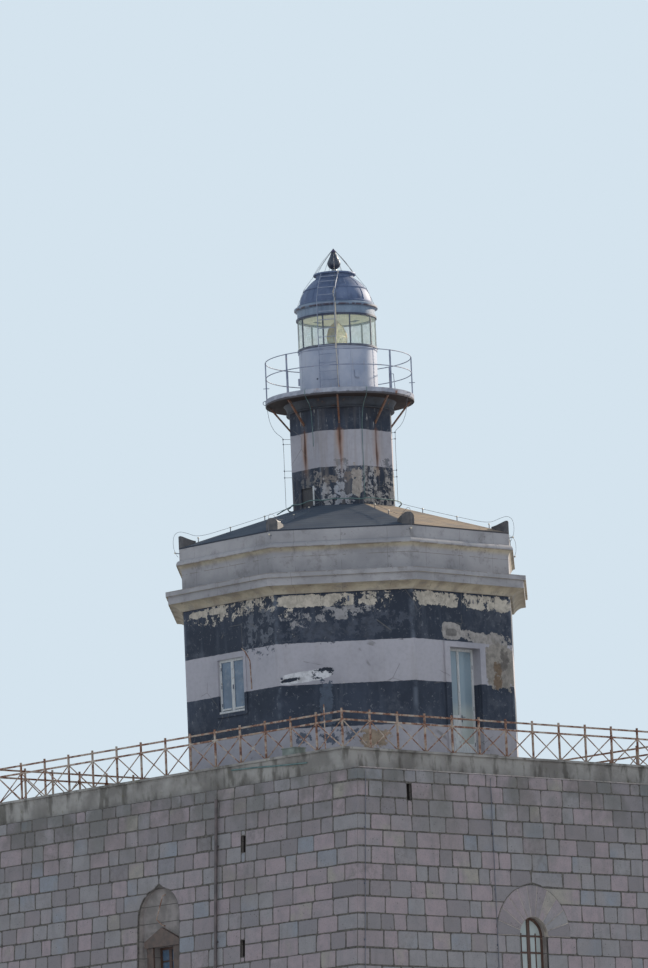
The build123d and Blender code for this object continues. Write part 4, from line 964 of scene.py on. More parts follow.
def drawn_in(outline, distance):
    """An outline moved inwards by a distance, its points in the same order."""
    moved = []
    for k, (x, y) in enumerate(outline):
        before, after = outline[k - 1], outline[(k + 1) % len(outline)]
        first = Vector((x - before[0], y - before[1])).normalized()
        second = Vector((after[0] - x, after[1] - y)).normalized()
        bisector = Vector((-first.y - second.y, first.x + second.x))
        if bisector.length < 0.2:
            bisector = Vector((-first.y, first.x))
        bisector.normalize()
        share = max(bisector.dot(Vector((-first.y, first.x))), 0.5)
        moved.append((x + bisector.x * distance / share, y + bisector.y * distance / share))
    return moved


# Ashlar: worn blocks in courses on the four walls, which turn the corners as quoins


def course_lines(rng):
    """Heights of the bed joints from the ground up, with one at every springing."""
    stops = [0.0, *ARCH_SPRINGS, TOWER_TOP - TOP_COURSE]
    lines = [0.0]
    for low, high in zip(stops[:-1], stops[1:]):
        count = round((high - low) / COURSE)
        for k in range(1, count):
            uneven = rng.uniform(-0.018, 0.018)
            lines.append(low + (high - low) * k / count + uneven)
        lines.append(high)
    return lines + [TOWER_TOP]


class Opening:
    """A gap in the stones of a wall: its middle, foot and top, and its half width by height."""

    def __init__(self, middle, foot, top, half):
        self.middle, self.foot, self.top, self.half = middle, foot, top, half

    def side(self, low, high, sign):
        """Points of one side of the gap within a course, from low to high."""
        points = []
        for k in range(5):
            z = low + (high - low) * k / 4
            inside = min(max(z, self.foot), self.top)
            points.append((self.middle + sign * self.half(inside), z))
        return points


def niche_opening(sill):
    """An arched niche in the front or back."""

    def half(z):
        rise = max(z - sill - NICHE_SPRING, 0)
        return sqrt(max(NICHE_HALF**2 - rise**2, 0)) + JOINT / 2

    return Opening(0, sill, sill + NICHE_SPRING + NICHE_RISE, half)


def arch_opening(shift, springing):
    """A round-headed window in a side wall, wider above its springing for the voussoirs."""
    reach = RING_RADIUS + 0.01

    def half(z):
        if z < springing + 0.01:
            return ARCH_HALF
        return sqrt(max(reach**2 - (z - springing) ** 2, 0)) + JOINT / 2

    return Opening(shift, springing - ARCH_SPRING, springing + reach, half)


def plain_opening(middle, foot, width=PUTLOG_WIDTH, height=PUTLOG_HEIGHT):
    """A square opening, the size of a putlog hole unless a size is given."""
    return Opening(middle, foot, foot + height, lambda z: width / 2)


OPENINGS = {
    FRONT: [niche_opening(sill) for sill in NICHE_SILLS]
    + [plain_opening(*place) for place in FRONT_PUTLOGS],
    BACK: [niche_opening(sill) for sill in NICHE_SILLS[1:]]
    + [plain_opening(0, 0, 2 * ENTRANCE_HALF, ENTRANCE_TOP)],
    RIGHT: [arch_opening(-ARCH_SHIFT, z) for z in ARCH_SPRINGS]
    + [plain_opening(*place) for place in RIGHT_PUTLOGS],
    LEFT: [arch_opening(ARCH_SHIFT, z) for z in ARCH_SPRINGS],
}


def wall_point(angle, across, z, depth):
    """A point before the face of a tower wall."""
    distance = TOWER_HALF if angle in (LEFT, RIGHT) else leaning_face(z)
    return face_matrix(angle, distance + depth) @ Vector((across, z, 0))


def worn_outline(rng, left, right):
    """Outline of a block between its left and right side, each a list of points going up.
    Its corners are worn off and its edges are a little uneven."""

    def cut(corner, other):
        reach = rng.uniform(0.012, 0.060)
        away = (Vector(other) - Vector(corner)).normalized()
        return tuple(Vector(corner) + away * reach)

    def uneven(start, end):
        share = rng.uniform(0.3, 0.7)
        x, z = (one + share * (other - one) for one, other in zip(start, end))
        return x, z + rng.uniform(-0.007, 0.007)

    foot = [cut(left[0], right[0]), uneven(left[0], right[0]), cut(right[0], left[0])]
    head = [cut(right[-1], left[-1]), uneven(right[-1], left[-1]), cut(left[-1], right[-1])]
    rise = [cut(right[0], right[-1]), *right[1:-1], cut(right[-1], right[0])]
    fall = [cut(left[-1], left[0]), *left[-2:0:-1], cut(left[0], left[-1])]
    return foot + rise + head + fall


def add_stone(shape, rng, angle, outline, proud=None):
    """A block with worn arrises and a slightly uneven face, from its outline on the wall."""
    proud = rng.uniform(*STONE_PROUD) if proud is None else proud
    worn = rng.random() ** 6
    tint = (rng.random(), rng.random(), worn)
    rounding = rng.uniform(0.014, 0.030) + 0.012 * worn
    inner = drawn_in(outline, rounding)
    rings = [
        [wall_point(angle, x, z, -STONE_DEPTH) for x, z in outline],
        [wall_point(angle, x, z, proud - ARRIS) for x, z in outline],
        [wall_point(angle, x, z, proud + rng.uniform(-0.003, 0.002)) for x, z in inner],
    ]
    count = len(outline)
    middle = [sum(values) / count for values in zip(*inner)]
    hub = wall_point(angle, *middle, proud + rng.uniform(-0.004, 0.004))
    faces = [list(range(count))[::-1], *ring_faces(count, (0, 1))]
    for n in range(count):
        faces.append([2 * count + n, 2 * count + (n + 1) % count, 3 * count])
    shape.add([point for ring in rings for point in ring] + [hub], faces, tint)


def uneven_side(rng, across, low, high):
    """The side of a block at an upright joint, a little crooked."""
    lean = rng.uniform(-0.010, 0.010)
    bulge = rng.uniform(-0.006, 0.006)
    return [(across - lean, low), (across + bulge, (low + high) / 2), (across + lean, high)]


def split(rng, start, end):
    """Places of the upright joints between two ends of a course."""
    count = max(1, round((end - start) / rng.uniform(*STONE_LENGTH)))
    weights = [rng.uniform(0.62, 1.4) for _ in range(count)]
    places, total = [start], sum(weights)
    for weight in weights[:-1]:
        places.append(places[-1] + (end - start) * weight / total)
    return places + [end]


def add_run(shape, rng, angle, left, right):
    """A row of blocks between two sides, each a list of points going up."""
    low, high = left[0][1], left[-1][1]
    start = max(across for across, _ in left)
    end = min(across for across, _ in right)
    if end - start < SHORTEST_RUN:
        return
    lefts, rights = [left], []
    for across in split(rng, start, end)[1:-1]:
        rights.append(uneven_side(rng, across - JOINT / 2, low, high))
        lefts.append(uneven_side(rng, across + JOINT / 2, low, high))
    for one, other in zip(lefts, rights + [right]):
        add_stone(shape, rng, angle, worn_outline(rng, one, other))


def add_course(shape, rng, angle, low, high, ends):
    """All the blocks of one course on one wall, round its openings."""
    left, last = ([(at_foot, low), (at_head, high)] for at_foot, at_head in ends)
    gaps = [gap for gap in OPENINGS[angle] if gap.foot < high - 0.02 and gap.top > low + 0.02]
    for gap in sorted(gaps, key=lambda gap: gap.middle):
        add_run(shape, rng, angle, left, gap.side(low, high, -1))
        half = gap.half(max(gap.foot, low)) - JOINT
        for foot, head in ((low, gap.foot - JOINT / 2), (gap.top + JOINT / 2, high)):
            width = gap.half(min(max(head, gap.foot), gap.top)) - JOINT
            if head - foot > 0.05 and width > 0.05:
                block = [[(gap.middle + side * half, z) for z in (foot, head)] for side in (-1, 1)]
                add_run(shape, rng, angle, *block)
        left = gap.side(low, high, 1)
    add_run(shape, rng, angle, left, last)


def facing_out(points, faces):
    """The faces of a closed shape, each turned to look away from its middle."""
    middle = sum(points, Vector()) / len(points)
    turned = []
    for face in faces:
        corners = [points[k] for k in face]
        normal = (corners[1] - corners[0]).cross(corners[2] - corners[1])
        centre = sum(corners, Vector()) / len(corners)
        turned.append(face if normal.dot(centre - middle) > 0 else face[::-1])
    return turned


def add_quoin(shape, rng, east, north, low, high, along_front, along_side):
    """A corner block that shows on two walls, chamfered on all its edges."""
    proud = rng.uniform(0.008, 0.016)
    chamfer = rng.uniform(0.018, 0.036)
    tint = (rng.random(), rng.random(), rng.random() ** 6)

    def corner(x_in, y_in, top):
        z = high if top else low
        x = TOWER_HALF - along_front if x_in else TOWER_HALF + proud
        y = leaning_face(z) - along_side if y_in else leaning_face(z) + proud
        return Vector((east * x, north * y, z))

    def key(axis, side, a, b):
        return {"x": (side, a, b), "y": (a, side, b), "z": (a, b, side)}[axis]

    points, index = [], {}
    for x_in, y_in, top in product((0, 1), repeat=3):
        here = corner(x_in, y_in, top)
        others = {
            "x": corner(1 - x_in, y_in, top),
            "y": corner(x_in, 1 - y_in, top),
            "z": corner(x_in, y_in, 1 - top),
        }
        for axis in "xyz":
            ways = [(others[other] - here).normalized() for other in "xyz" if other != axis]
            index[x_in, y_in, top, axis] = len(points)
            points.append(here + ways[0] * chamfer + ways[1] * chamfer)
    faces = []
    for axis, side in product("xyz", (0, 1)):
        ring = [key(axis, side, a, b) for a, b in ((0, 0), (0, 1), (1, 1), (1, 0))]
        faces.append([index[(*place, axis)] for place in ring])
    for a, b, (axis, first, second) in product((0, 1), (0, 1), ("xyz", "yxz", "zxy")):
        near, far = key(axis, 0, a, b), key(axis, 1, a, b)
        ends = ((near, first), (far, first), (far, second), (near, second))
        faces.append([index[(*place, other)] for place, other in ends])
    for place in product((0, 1), repeat=3):
        faces.append([index[(*place, axis)] for axis in "xyz"])
    shape.add(points, facing_out(points, faces), tint)


def make_stones():
    """The ashlar of the tower, one piece for each wall and one for the quoins."""
    rng = random.Random(7)
    lines = course_lines(rng)
    walls = {angle: Shape() for angle in OPENINGS}
    quoins = Shape()
    corners_of = {
        FRONT: ((-1, -1), (1, -1)),
        BACK: ((1, 1), (-1, 1)),
        RIGHT: ((1, -1), (1, 1)),
        LEFT: ((-1, 1), (-1, -1)),
    }
    for k, (low, high) in enumerate(zip(lines[:-1], lines[1:])):
        foot, head = low + JOINT / 2, high - JOINT / 2
        reaches = {}
        for east, north in ((1, -1), (1, 1), (-1, 1), (-1, -1)):
            reach = (rng.uniform(*LONG_QUOIN), rng.uniform(*SHORT_QUOIN))
            reach = reach if (k + (east == north)) % 2 else reach[::-1]
            reaches[east, north] = reach
            add_quoin(quoins, rng, east, north, foot, head, *reach)
        for angle, corners in corners_of.items():
            on_side = angle in (LEFT, RIGHT)
            halves = [leaning_face(z) if on_side else TOWER_HALF for z in (foot, head)]
            ends = []
            for sign, corner in zip((-1, 1), corners):
                reach = reaches[corner][1 if on_side else 0] + JOINT
                ends.append([sign * (half - reach) for half in halves])
            add_course(walls[angle], rng, angle, foot, head, ends)
    names = {FRONT: "front", BACK: "back", LEFT: "left", RIGHT: "right"}
    for angle, shape in walls.items():
        shape.piece(f"stones_{names[angle]}", "tower_stone", ASHLAR, smooth=25)
    quoins.piece("stones_corners", "tower_stone", ASHLAR, smooth=25)


def make_voussoirs():
    """Long wedge stones over the round-headed windows of the side walls."""
    rng = random.Random(11)
    shape = Shape()
    count = 11
    spread = pi / count
    for angle, shift in ((RIGHT, -ARCH_SHIFT), (LEFT, ARCH_SHIFT)):
        for springing, k in product(ARCH_SPRINGS, range(count)):
            outline = []
            for radius, sweep in ((ARCH_HALF + 0.005, -1), (RING_RADIUS, 1)):
                trim = JOINT / 2 / radius
                turns = [k * spread + trim + (spread - 2 * trim) * n / 3 for n in range(4)]
                for turn in turns[::sweep]:
                    outline.append((shift + radius * cos(turn), springing + radius * sin(turn)))
            add_stone(shape, rng, angle, outline, proud=0.032 + rng.uniform(0, 0.006))
    shape.piece("window_voussoirs", "dressed_stone", ASHLAR, smooth=25)


def make_ledge_slabs():
    """Coping slabs on the ledges that the side walls leave beside the terrace."""
    rng = random.Random(13)
    shape = Shape()
    level = Matrix.Translation((0, 0, TOWER_TOP))
    for side in (-1, 1):
        inner, outer = side * (TERRACE_HALF + 0.01), side * (TOWER_HALF + 0.008)
        places = split(rng, -leaning_face(TOWER_TOP) + 0.02, leaning_face(TOWER_TOP) - 0.02)
        for start, end in zip(places[:-1], places[1:]):
            ring = [(inner, start), (outer, start), (outer, end - 0.015), (inner, end - 0.015)]
            outline = ring if side > 0 else ring[::-1]
            shape.prism(outline, -0.01, rng.uniform(0.015, 0.022), level, 0.012)
    shape.piece("ledge_slabs", "tower_stone", ASHLAR, smooth=25)


# Lantern, dome and gallery


def arc_through(first, second, third, steps=6):
    """Points of the arc through three points of a profile."""
    (x1, y1), (x2, y2), (x3, y3) = first, second, third
    denominator = 2 * (x1 * (y2 - y3) + x2 * (y3 - y1) + x3 * (y1 - y2))
    squares = [x * x + y * y for x, y in (first, second, third)]
    cx = (squares[0] * (y2 - y3) + squares[1] * (y3 - y1) + squares[2] * (y1 - y2)) / denominator
    cy = (squares[0] * (x3 - x2) + squares[1] * (x1 - x3) + squares[2] * (x2 - x1)) / denominator
    start, end = atan2(y1 - cy, x1 - cx), atan2(y3 - cy, x3 - cx)
    radius = hypot(x1 - cx, y1 - cy)
    turns = [start + (end - start) * k / steps for k in range(steps + 1)]
    return [(cx + radius * cos(turn), cy + radius * sin(turn)) for turn in turns]


# Points of the dome's profile, as the distance from the axis and the height
DOME_RADIUS = 1.03
DOME_SEAM = (0.855, DOME_Z + 0.46)
LOWER_DOME = arc_through((DOME_RADIUS, DOME_Z), (0.98, DOME_Z + 0.24), DOME_SEAM)
UPPER_DOME = arc_through(DOME_SEAM, (0.71, DOME_Z + 0.63), (0.535, COLLAR_Z))


def make_dome_seams():
    """Standing seams of the two courses of sheet, and laps at the foot, between them and on top."""
    routes = []
    for profile, k in product((LOWER_DOME, UPPER_DOME), range(12)):
        routes.append([polar(radius + 0.002, 30 * k + 8, z) for radius, z in profile])
    wires("dome_seams", routes, 0.009, "dome_metal")
    laps = Shape()
    for radius, z, profile in (
        # distance from the axis, height, and the profile of the lap in millimetres
        (*DOME_SEAM, ((-10, -45), (45, -50), (52, -30), (12, 14), (-10, 12))),
        (DOME_RADIUS, DOME_Z, ((-10, -5), (35, -5), (35, 25), (8, 50), (-10, 50))),
        (LID_RADIUS, LID_Z, ((-10, -85), (12, -85), (18, -60), (8, -35), (-10, -35))),
    ):
        laps.moulding(radius, z, [(out / 1000, up / 1000) for out, up in profile])
    laps.piece("dome_laps", "dome_metal")


def make_finial_stays():
    """Wire stays from the tip of the finial to the rim of the lid, the dome and the gutter."""
    cap_z = TIP_Z - 0.06
    seam_radius, seam_z = DOME_SEAM
    short = ((LID_RADIUS / 2 + 0.05, (cap_z + LID_Z) / 2 - 0.01), (LID_RADIUS + 0.004, LID_Z - 0.03))
    long = ((seam_radius + 0.03, seam_z + 0.03), (DRUM_RADIUS + 0.03, DOME_Z - 0.10))
    routes = []
    for first, count, stay in ((20, 8, short), (47, 4, long)):
        for k in range(count):
            turn = first + 360 / count * k
            routes.append([polar(radius, turn, z) for radius, z in ((0.04, cap_z), *stay)])
    wires("finial_stays", routes, 0.005, "dome_metal", GREY_CABLE, sides=1)


def make_drum_seams():
    """Plate seams and rivets of the drum, and the rivets over the glass."""
    seams, places = Shape(), []
    height, rows = SILL_Z - GALLERY_Z - 0.06, 14
    for k in range(8):
        turn = 22.5 + 45 * k
        matrix = face_matrix(turn, DRUM_RADIUS - 0.002)
        seams.box((0, (GALLERY_Z + SILL_Z) / 2), (0.07, height, 0, 0.010), matrix, 0.003)
        for n, across in product(range(rows), (-0.02, 0.02)):
            z = GALLERY_Z + 0.08 + n * (height - 0.08) / (rows - 1)
            places.append((matrix @ Vector((across, z, 0.010)), outwards(turn)))
    for z, out in ((GALLERY_Z + 0.02, 0.03), (SILL_Z - 0.035, 0.022)):
        profile = ((-0.01, -0.02), (out, -0.02), (out, 0.012), (0.006, 0.022), (-0.01, 0.022))
        seams.moulding(DRUM_RADIUS, z, profile)
    seams.piece("drum_seams", "lantern_metal")
    for k, rise in product(range(48), (0.12, 0.22)):
        places.append((polar(DRUM_RADIUS, 7.5 * k, ENTABLATURE_Z + rise), outwards(7.5 * k)))
    rivets("lantern_rivets", places, 0.009, "lantern_metal")


def make_lantern_fittings():
    """Conduit over the dome, vents in the ceiling, and small fittings of drum and gallery."""
    conduit = (
        # distance from the axis, plan angle, height
        (0.60, -32.6, LID_Z - 0.05),
        (0.76, -39.0, LID_Z - 0.32),
        (0.97, -46.7, DOME_Z + 0.25),
        (1.12, -44.3, DOME_Z - 0.05),
        (1.28, -43.8, ENTABLATURE_Z + 0.23),
        (1.28, -43.6, ENTABLATURE_Z - 0.32),
        (1.28, -45.2, SILL_Z - 0.04),
        (1.27, -44.4, GALLERY_Z + 0.66),
        (1.20, -44.4, GALLERY_Z),
    )
    wires("lantern_conduit", [[polar(*place) for place in conduit]], 0.018, "gallery_iron", WHITE_CABLE)

    vents = Shape()
    for angle in (-166, 79):
        east, north = cos(radians(angle)), sin(radians(angle))
        radius, z = 0.62, ENTABLATURE_Z + 0.03
        rows = ((-north, east, 0, radius * east), (east, north, 0, radius * north), (0, 0, -1, z))
        for across in (-0.075, 0.075):
            vents.box((across, 0), (0.12, 0.14, -0.004, 0.012), Matrix((*rows, (0, 0, 0, 1))))
    vents.piece("ceiling_vents", "lantern_metal", BAR_PAINT)

    fittings = Shape()
    box_face = face_matrix(-16, DRUM_RADIUS, GALLERY_Z)
    fittings.box((0, 0.54), (0.13, 0.20, -0.01, 0.035), box_face, 0.006)
    fittings.box((0.01, 0.425), (0.11, 0.02, -0.01, 0.055), box_face)
    left_face = face_matrix(-132.9, DRUM_RADIUS, GALLERY_Z)
    fittings.box((0, 0.51), (0.06, 0.20, -0.01, 0.05), left_face, 0.006)
    fittings.piece("drum_fittings", "lantern_metal")
    knob = (polar(DRUM_RADIUS, -76.2, GALLERY_Z + 0.44), outwards(-76.2))
    rivets("drum_knob", [knob], 0.032, "lantern_metal", BAR_PAINT)

    bars = []
    for angle in (-133.1, 46.9):
        bars.append([polar(radius, angle, GALLERY_Z + 0.37) for radius in (1.97, 2.14)])
    frame_radius, bend = 2.0, polar(2.0, 6.8, GALLERY_Z + 0.43)
    upright = [polar(frame_radius, 2.1, GALLERY_Z + rise) for rise in (0, 0.42)]
    bars += [[*upright, bend], [bend, polar(frame_radius, 8.2, GALLERY_Z)]]
    for angle in CONDUCTOR_ANGLES:
        turns = [2 * pi * k / 12 for k in range(13)]
        places = [(0.03 + 0.06 * cos(turn), 0.09 + 0.06 * sin(turn)) for turn in turns]
        bars.append([polar(GALLERY_RADIUS + out, angle, GALLERY_UNDER_Z + up) for out, up in places])
    wires("gallery_fittings", bars, 0.010, "gallery_iron")


def make_shaft_details():
    """Conductors on clips, green cables, the copper ring at the foot, and the hatch's white jamb,
    partly painted light of a lit reveal.
    """
    conductors, clips, clamps = [], [], []
    stand = 1.66
    hang = ((2.09, 0.02), (2.06, -0.25), (2.01, -0.50), (1.88, -0.75), (1.70, -0.88))
    hang += ((stand, -0.95), (stand, -1.95), (stand, ROOF_TOP_Z + 0.10 - GALLERY_UNDER_Z))
    clip_drops = ((0.95, 1.09, 1.85, 2.04), (0.95, 1.13, 2.02, 2.21))
    for angle, drops in zip(CONDUCTOR_ANGLES, clip_drops):
        conductors.append([polar(radius, angle, GALLERY_UNDER_Z + up) for radius, up in hang])
        for drop in drops:
            z = GALLERY_UNDER_Z - drop
            clips.append([polar(SHAFT_FLAT, angle, z), polar(stand + 0.03, angle, z)])
            clamps.append((polar(stand, angle, z), outwards(angle)))
        clamp = polar(SHAFT_FLAT + 0.03, angle + 4, GALLERY_UNDER_Z - 0.48)
        clamps.append((clamp, outwards(angle)))
    wires("shaft_conductors", conductors, 0.006, "gallery_iron", GREY_CABLE, smooth=True)
    wires("conductor_clips", clips, 0.006, "gallery_iron", GREY_CABLE)
    rivets("conductor_clamps", clamps, 0.026, "gallery_iron", BAR_PAINT)

    rng = random.Random(5)
    ring, last = [], 40
    for k in range(last + 1):
        sway = 0 if k in (0, last) else rng.uniform(-0.02, 0.02)
        ring.append(polar(1.60 + sway, 360 / last * k, ROOF_TOP_Z + 0.13 + 1.5 * sway))
    loop = (
        # distance from the axis, plan angle, height over the top of the roof
        (1.62, -104, 0.12),
        (1.72, -114, 0.06),
        (1.86, -122, -0.02),
        (1.92, -127, -0.04),
        (1.86, -131, 0.0),
        (1.70, -128, 0.10),
    )
    loop = [polar(radius, angle, ROOF_TOP_Z + up) for radius, angle, up in loop]
    wires("copper_cables", [ring, loop], 0.016, "gallery_iron", COPPER, smooth=True)

    routes = []
    for angle, foot_angle, end_z in (
        (-70.7, -74.0, GALLERY_UNDER_Z - 1.35),
        (-21.9, -21.0, ROOF_TOP_Z + 0.14),
    ):
        route = (
            (GALLERY_RADIUS - 0.05, angle, GALLERY_Z + 0.02),
            (GALLERY_RADIUS + 0.01, angle, GALLERY_Z),
            (GALLERY_RADIUS + 0.01, angle, GALLERY_UNDER_Z),
            (1.78, angle, GALLERY_UNDER_Z - 0.25),
            (1.58, foot_angle, GALLERY_UNDER_Z - 0.65),
            (1.55, foot_angle, GALLERY_UNDER_Z - 1.05),
            (1.55, foot_angle, end_z),
        )
        routes.append([polar(*place) for place in route])
    wires("copper_drops", routes, 0.009, "gallery_iron", COPPER, smooth=True)

    # A pale strip on the hatch's right jamb: white paint, and painted light of its lit reveal.
    trim = Shape()
    hatch = face_matrix(FRONT, SHAFT_FLAT, ROOF_TOP_Z)
    trim.box((0.285, 0.31), (0.05, 0.56, -0.01, 0.02), hatch)
    trim.piece("hatch_jamb_and_painted_light", "cream_wood")


def make_roof_wires():
    """Wires along the hips on short pins, looped over the corner blocks to the eaves."""
    eave, top = EAVE_FLAT / FLAT, SHAFT_FLAT / FLAT
    over_block = (
        # distance from the corner of the eaves, height
        (0.03, EAVE_Z - 0.22),
        (0.12, EAVE_Z - 0.10),
        (0.17, EAVE_Z + 0.12),
        (0.14, BLOCK_TOP_Z + 0.02),
        (-0.02, BLOCK_TOP_Z + 0.13),
        (-0.25, BLOCK_TOP_Z + 0.09),
    )

    def hip(share, angle, lift):
        z = EAVE_Z + 0.04 + share * (ROOF_TOP_Z - EAVE_Z - 0.04)
        return polar(eave + share * (top - eave), angle, z + lift)

    routes, pins, knobs = [], [], []
    for k in range(SIDES):
        angle = TURN * (k + 0.5)
        route = [polar(eave + out, angle, z) for out, z in over_block]
        for share, lift in ((0.17, 0.13), (0.40, 0.11), (0.75, 0.10), (0.97, 0.12)):
            route.append(hip(share, angle, lift))
        routes.append(route)
        for share in (0.17, 0.45, 0.75):
            pins.append([hip(share, angle, -0.02), hip(share, angle, 0.12)])
            knobs.append((hip(share, angle, 0.11), Vector((0, 0, 1))))
        bracket = ((-0.03, EAVE_Z - 0.12), (0.13, EAVE_Z - 0.10))
        pins.append([polar(eave + out, angle, z) for out, z in bracket])
        knobs.append((polar(eave + 0.12, angle, EAVE_Z - 0.10), outwards(angle)))
    wires("roof_wires", routes, 0.005, "gallery_iron", GREY_CABLE, smooth=True)
    wires("roof_pins", pins, 0.012, "gallery_iron", BAR_PAINT)
    rivets("roof_insulators", knobs, 0.032, "gallery_iron", WHITE_CABLE)


def make_house_details():
    """Beads, sills, hinges and handles of the windows and the door, and small irons."""
    joinery, irons = Shape(), Shape()
    for angle in (FRONT, BACK, LEFT):
        face = face_matrix(angle, HOUSE_FLAT - 0.04, WINDOW_SILL)
        joinery.box((0, 0.03), (1.03, 0.06, -0.01, 0.075), face, 0.01)
        middle = (WINDOW_HEAD - WINDOW_SILL) / 2
        joinery.box((0, middle), (0.028, 1.34, -0.005, 0.016), face, 0.006)
        for side in (-1, 1):
            joinery.box((side * 0.27, 0.115), (0.36, 0.05, -0.02, 0.022), face, 0.008)
            for height in (0.25, 0.75, 1.25):
                irons.box((side * 0.462, height), (0.018, 0.09, -0.01, 0.010), face)
        irons.box((0.03, 0.72), (0.02, 0.12, 0, 0.03), face)
    door = face_matrix(RIGHT, HOUSE_FLAT - 0.25, TERRACE_Z)
    joinery.box((0, 1.95), (0.03, 2.6, -0.005, 0.018), door, 0.006)
    for height, side in product((0.75, 1.75, 2.9), (-1, 1)):
        irons.box((side * 0.53, height), (0.02, 0.11, -0.01, 0.010), door)
    irons.box((0.06, 1.45), (0.035, 0.20, 0, 0.008), door)
    irons.box((0.095, 1.49), (0.11, 0.02, 0.03, 0.045), door)
    joinery.piece("house_joinery_beads", "cream_wood")

    for angle, across, height, size, bevel in (
        (DIAGONAL, 0.14, 4.74, (0.05, 0.15, -0.01, 0.02), 0.004),
        (RIGHT, 0.32, 4.70, (0.02, 0.12, -0.01, 0.015), 0.004),
        (RIGHT, 0.44, 4.70, (0.02, 0.12, -0.01, 0.015), 0.004),
        (DIAGONAL, -1.78, 2.60, (0.06, 0.06, -0.01, 0.04), 0.015),
    ):
        irons.box((across, height), size, face_matrix(angle, HOUSE_FLAT, TERRACE_Z), bevel)
    irons.piece("house_irons", "gallery_iron", BAR_PAINT)

    front = face_matrix(FRONT, HOUSE_FLAT + 0.012, TERRACE_Z)
    bend = ((0.48, 3.62), (0.62, 3.50), (0.79, 3.24), (0.82, 2.45))
    route = [front @ Vector((across, height, 0)) for across, height in bend]
    wires("window_side_pipe", [route], 0.014, "railing_iron")


def make_glazing_bars():
    """Glazing bars of the tower's windows."""
    bars = Shape()
    for angle, shift in ((RIGHT, -ARCH_SHIFT), (LEFT, ARCH_SHIFT)):
        for springing in ARCH_SPRINGS:
            face = face_matrix(angle, SIDE_FRAMES, springing)
            for height in (0.02, -0.43, -1.1):
                bars.box((shift, height), (0.96, 0.05, -0.05, 0.004), face, 0.006)
            for side in (-1, 1):
                bars.box((shift + side * 0.27, -0.8), (0.03, 1.8, -0.05, -0.004), face)
    for angle, sills in ((FRONT, NICHE_SILLS), (BACK, NICHE_SILLS[1:])):
        for sill in sills:
            crown = sill + NICHE_SPRING + NICHE_RISE
            face = face_matrix(angle, leaning_face(crown) - SLOT_SETBACK, sill)
            for height in (0.6, 1.2, 1.75):
                bars.box((0, height), (0.72, 0.04, -0.05, 0.004), face, 0.006)
            bars.box((0, 0.05), (0.78, 0.05, -0.03, 0.03), face, 0.008)
    bars.piece("tower_glazing_bars", "brown_wood")


def make_tower_cables():
    """Two thin cables on clips down the right wall, one along its corner, one upright."""
    routes, clips = [], []
    heights = [TOWER_TOP - 0.1 - 1.5 * k for k in range(16)]
    for from_corner, lean in ((0.24, True), (4.85, False)):
        places = []
        for z in heights:
            across = from_corner - leaning_face(z if lean else TOWER_TOP)
            places.append((across, z))
        routes.append([wall_point(RIGHT, *place, 0.045) for place in places])
        clips += [(wall_point(RIGHT, *place, 0.03), outwards(RIGHT)) for place in places[1:]]
    wires("tower_cables", routes, 0.010, "gallery_iron", GREY_CABLE)
    rivets("cable_clips", clips, 0.028, "gallery_iron", BAR_PAINT)


def make_terrace_details():
    """A bent bar in the top niche, and the pipe, box and rod at the edge of the terrace."""
    springing = NICHE_SILLS[-1] + NICHE_SPRING
    bar = (
        # across, height over the springing of the niche, depth
        (0.14, 0.70, -0.30),
        (0.10, 0.60, -0.05),
        (-0.15, -0.02, -0.06),
        (0.05, -0.20, -0.10),
        (0.06, -0.22, -0.30),
    )
    bar = [wall_point(FRONT, across, springing + up, depth) for across, up, depth in bar]
    wires("niche_bar", [bar], 0.016, "railing_iron")

    drops = ((2.9, 0.16), (3.7, 0.18), (4.8, 0.25), (5.9, 0.29))
    pipe = [Vector((x, -TERRACE_HALF - 0.025, TERRACE_Z - drop)) for x, drop in drops]
    wires("terrace_pipe", [pipe], 0.02, "gallery_iron", COPPER, smooth=True)
    box = Shape()
    edge = face_matrix(FRONT, TERRACE_HALF - 0.02, TERRACE_Z)
    box.box((5.13, 0.09), (0.50, 0.18, -0.4, 0.0), edge, 0.01)
    box.box((5.13, 0.19), (0.54, 0.03, -0.42, 0.02), edge, 0.008)
    box.piece("terrace_box", "gallery_iron", BOX_PAINT)
    rod = [Vector((6.3, 0.3 - TERRACE_HALF, TERRACE_Z + height)) for height in (0, 1.25)]
    wires("terrace_rod", [rod], 0.014, "railing_iron")


for make in (
    make_stones,
    make_voussoirs,
    make_ledge_slabs,
    make_dome_seams,
    make_finial_stays,
    make_drum_seams,
    make_lantern_fittings,
    make_shaft_details,
    make_roof_wires,
    make_house_details,
    make_glazing_bars,
    make_tower_cables,
    make_terrace_details,
):
    make()


# Floor, light and camera

VIEW_AZIMUTH, VIEW_RISE = radians(46.9102), radians(8.5923)
VIEW_DISTANCE = 208.0
VIEW_SIDE = -0.5454
EYE_HEIGHT = 1.6
CAMERA_ROLL = 0.0427
LENS, SENSOR = 277.92, 36
VIEW_DEPTH = (1, 2000)
FLOOR_HALF, FLOOR_DROP = 400, 0.01


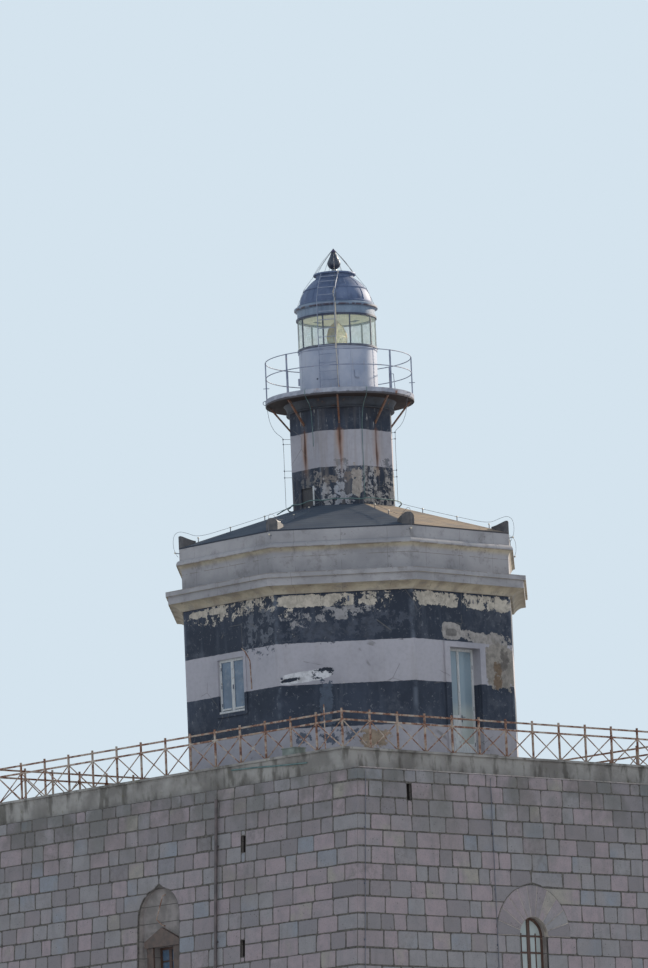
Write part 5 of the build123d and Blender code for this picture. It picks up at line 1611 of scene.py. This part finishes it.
def make_camera():
    """The camera of the photo: far off, near the ground, slightly rolled."""
    right = Vector((cos(VIEW_AZIMUTH), sin(VIEW_AZIMUTH), 0))
    ahead = Vector((-sin(VIEW_AZIMUTH), cos(VIEW_AZIMUTH), 0))
    forward = ahead * cos(VIEW_RISE) + Vector((0, 0, sin(VIEW_RISE)))
    up = right.cross(forward)
    x_axis = cos(CAMERA_ROLL) * right - sin(CAMERA_ROLL) * up
    y_axis = sin(CAMERA_ROLL) * right + cos(CAMERA_ROLL) * up
    place = -VIEW_DISTANCE * ahead + VIEW_SIDE * right + Vector((0, 0, EYE_HEIGHT))
    data = bpy.data.cameras.new("camera")
    data.lens = LENS
    data.sensor_width = SENSOR
    data.sensor_fit = "AUTO"
    data.clip_start, data.clip_end = VIEW_DEPTH
    camera = bpy.data.objects.new("camera", data)
    columns = (x_axis, y_axis, -forward, place)
    rows = [[column[k] for column in columns] for k in range(3)]
    camera.matrix_world = Matrix([*rows, (0, 0, 0, 1)])
    bpy.context.collection.objects.link(camera)
    bpy.context.scene.camera = camera


def make_sun(name, direction, strength, colour, softness):
    """A soft far lamp that shines from a direction."""
    data = bpy.data.lights.new(name, "SUN")
    data.energy = strength
    data.color = colour
    data.angle = radians(softness)
    lamp = bpy.data.objects.new(name, data)
    lamp.rotation_euler = Vector(direction).to_track_quat("Z", "Y").to_euler()
    bpy.context.collection.objects.link(lamp)


def make_world():
    """Even pale light, and a paler backdrop for camera, glossy and transmission rays."""
    world = bpy.data.worlds.new("studio")
    world.use_nodes = True
    bpy.context.scene.world = world
    tree = world.node_tree
    light = tree.nodes["Background"]
    light.inputs["Color"].default_value = rgb(186, 205, 230)
    light.inputs["Strength"].default_value = 0.50
    backdrop = tree.nodes.new("ShaderNodeBackground")
    backdrop.inputs["Color"].default_value = rgb(212, 227, 238)
    rays = tree.nodes.new("ShaderNodeLightPath")
    seen = rays.outputs["Is Camera Ray"]
    for name in ("Is Glossy Ray", "Is Transmission Ray"):
        either = tree.nodes.new("ShaderNodeMath")
        either.operation = "MAXIMUM"
        tree.links.new(seen, either.inputs[0])
        tree.links.new(rays.outputs[name], either.inputs[1])
        seen = either.outputs[0]
    mix = tree.nodes.new("ShaderNodeMixShader")
    for socket, source in zip(mix.inputs, (seen, light.outputs[0], backdrop.outputs[0])):
        tree.links.new(source, socket)
    tree.links.new(mix.outputs[0], tree.nodes["World Output"].inputs["Surface"])


def make_floor():
    """A wide pale floor under the tower, without gloss."""
    coat = Coat("floor", roughness=1.0, specular=0.0)
    material = coat.done(coat.mottle(0.05, rgb(206, 210, 214), rgb(198, 203, 208)))
    mesh = bpy.data.meshes.new("floor")
    signs = ((-1, -1), (1, -1), (1, 1), (-1, 1))
    corners = [(a * FLOOR_HALF, b * FLOOR_HALF, 0) for a, b in signs]
    mesh.from_pydata(corners, [], [[0, 1, 2, 3]])
    mesh.materials.append(material)
    floor = bpy.data.objects.new("floor", mesh)
    bpy.context.collection.objects.link(floor)
    floor.location.z = -FLOOR_DROP
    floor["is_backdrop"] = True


make_camera()
make_world()
make_sun("key", (-0.05, 0.92, 0.38), 5.4, (1.0, 0.89, 0.76), 2)
make_sun("fill", (0.80, -0.55, 0.35), 0.76, (0.90, 0.94, 1.0), 60)
make_sun("left", (-0.60, -0.70, 0.40), 0.30, (0.90, 0.95, 1.0), 60)
make_floor()

bpy.context.scene.view_settings.view_transform = "Standard"

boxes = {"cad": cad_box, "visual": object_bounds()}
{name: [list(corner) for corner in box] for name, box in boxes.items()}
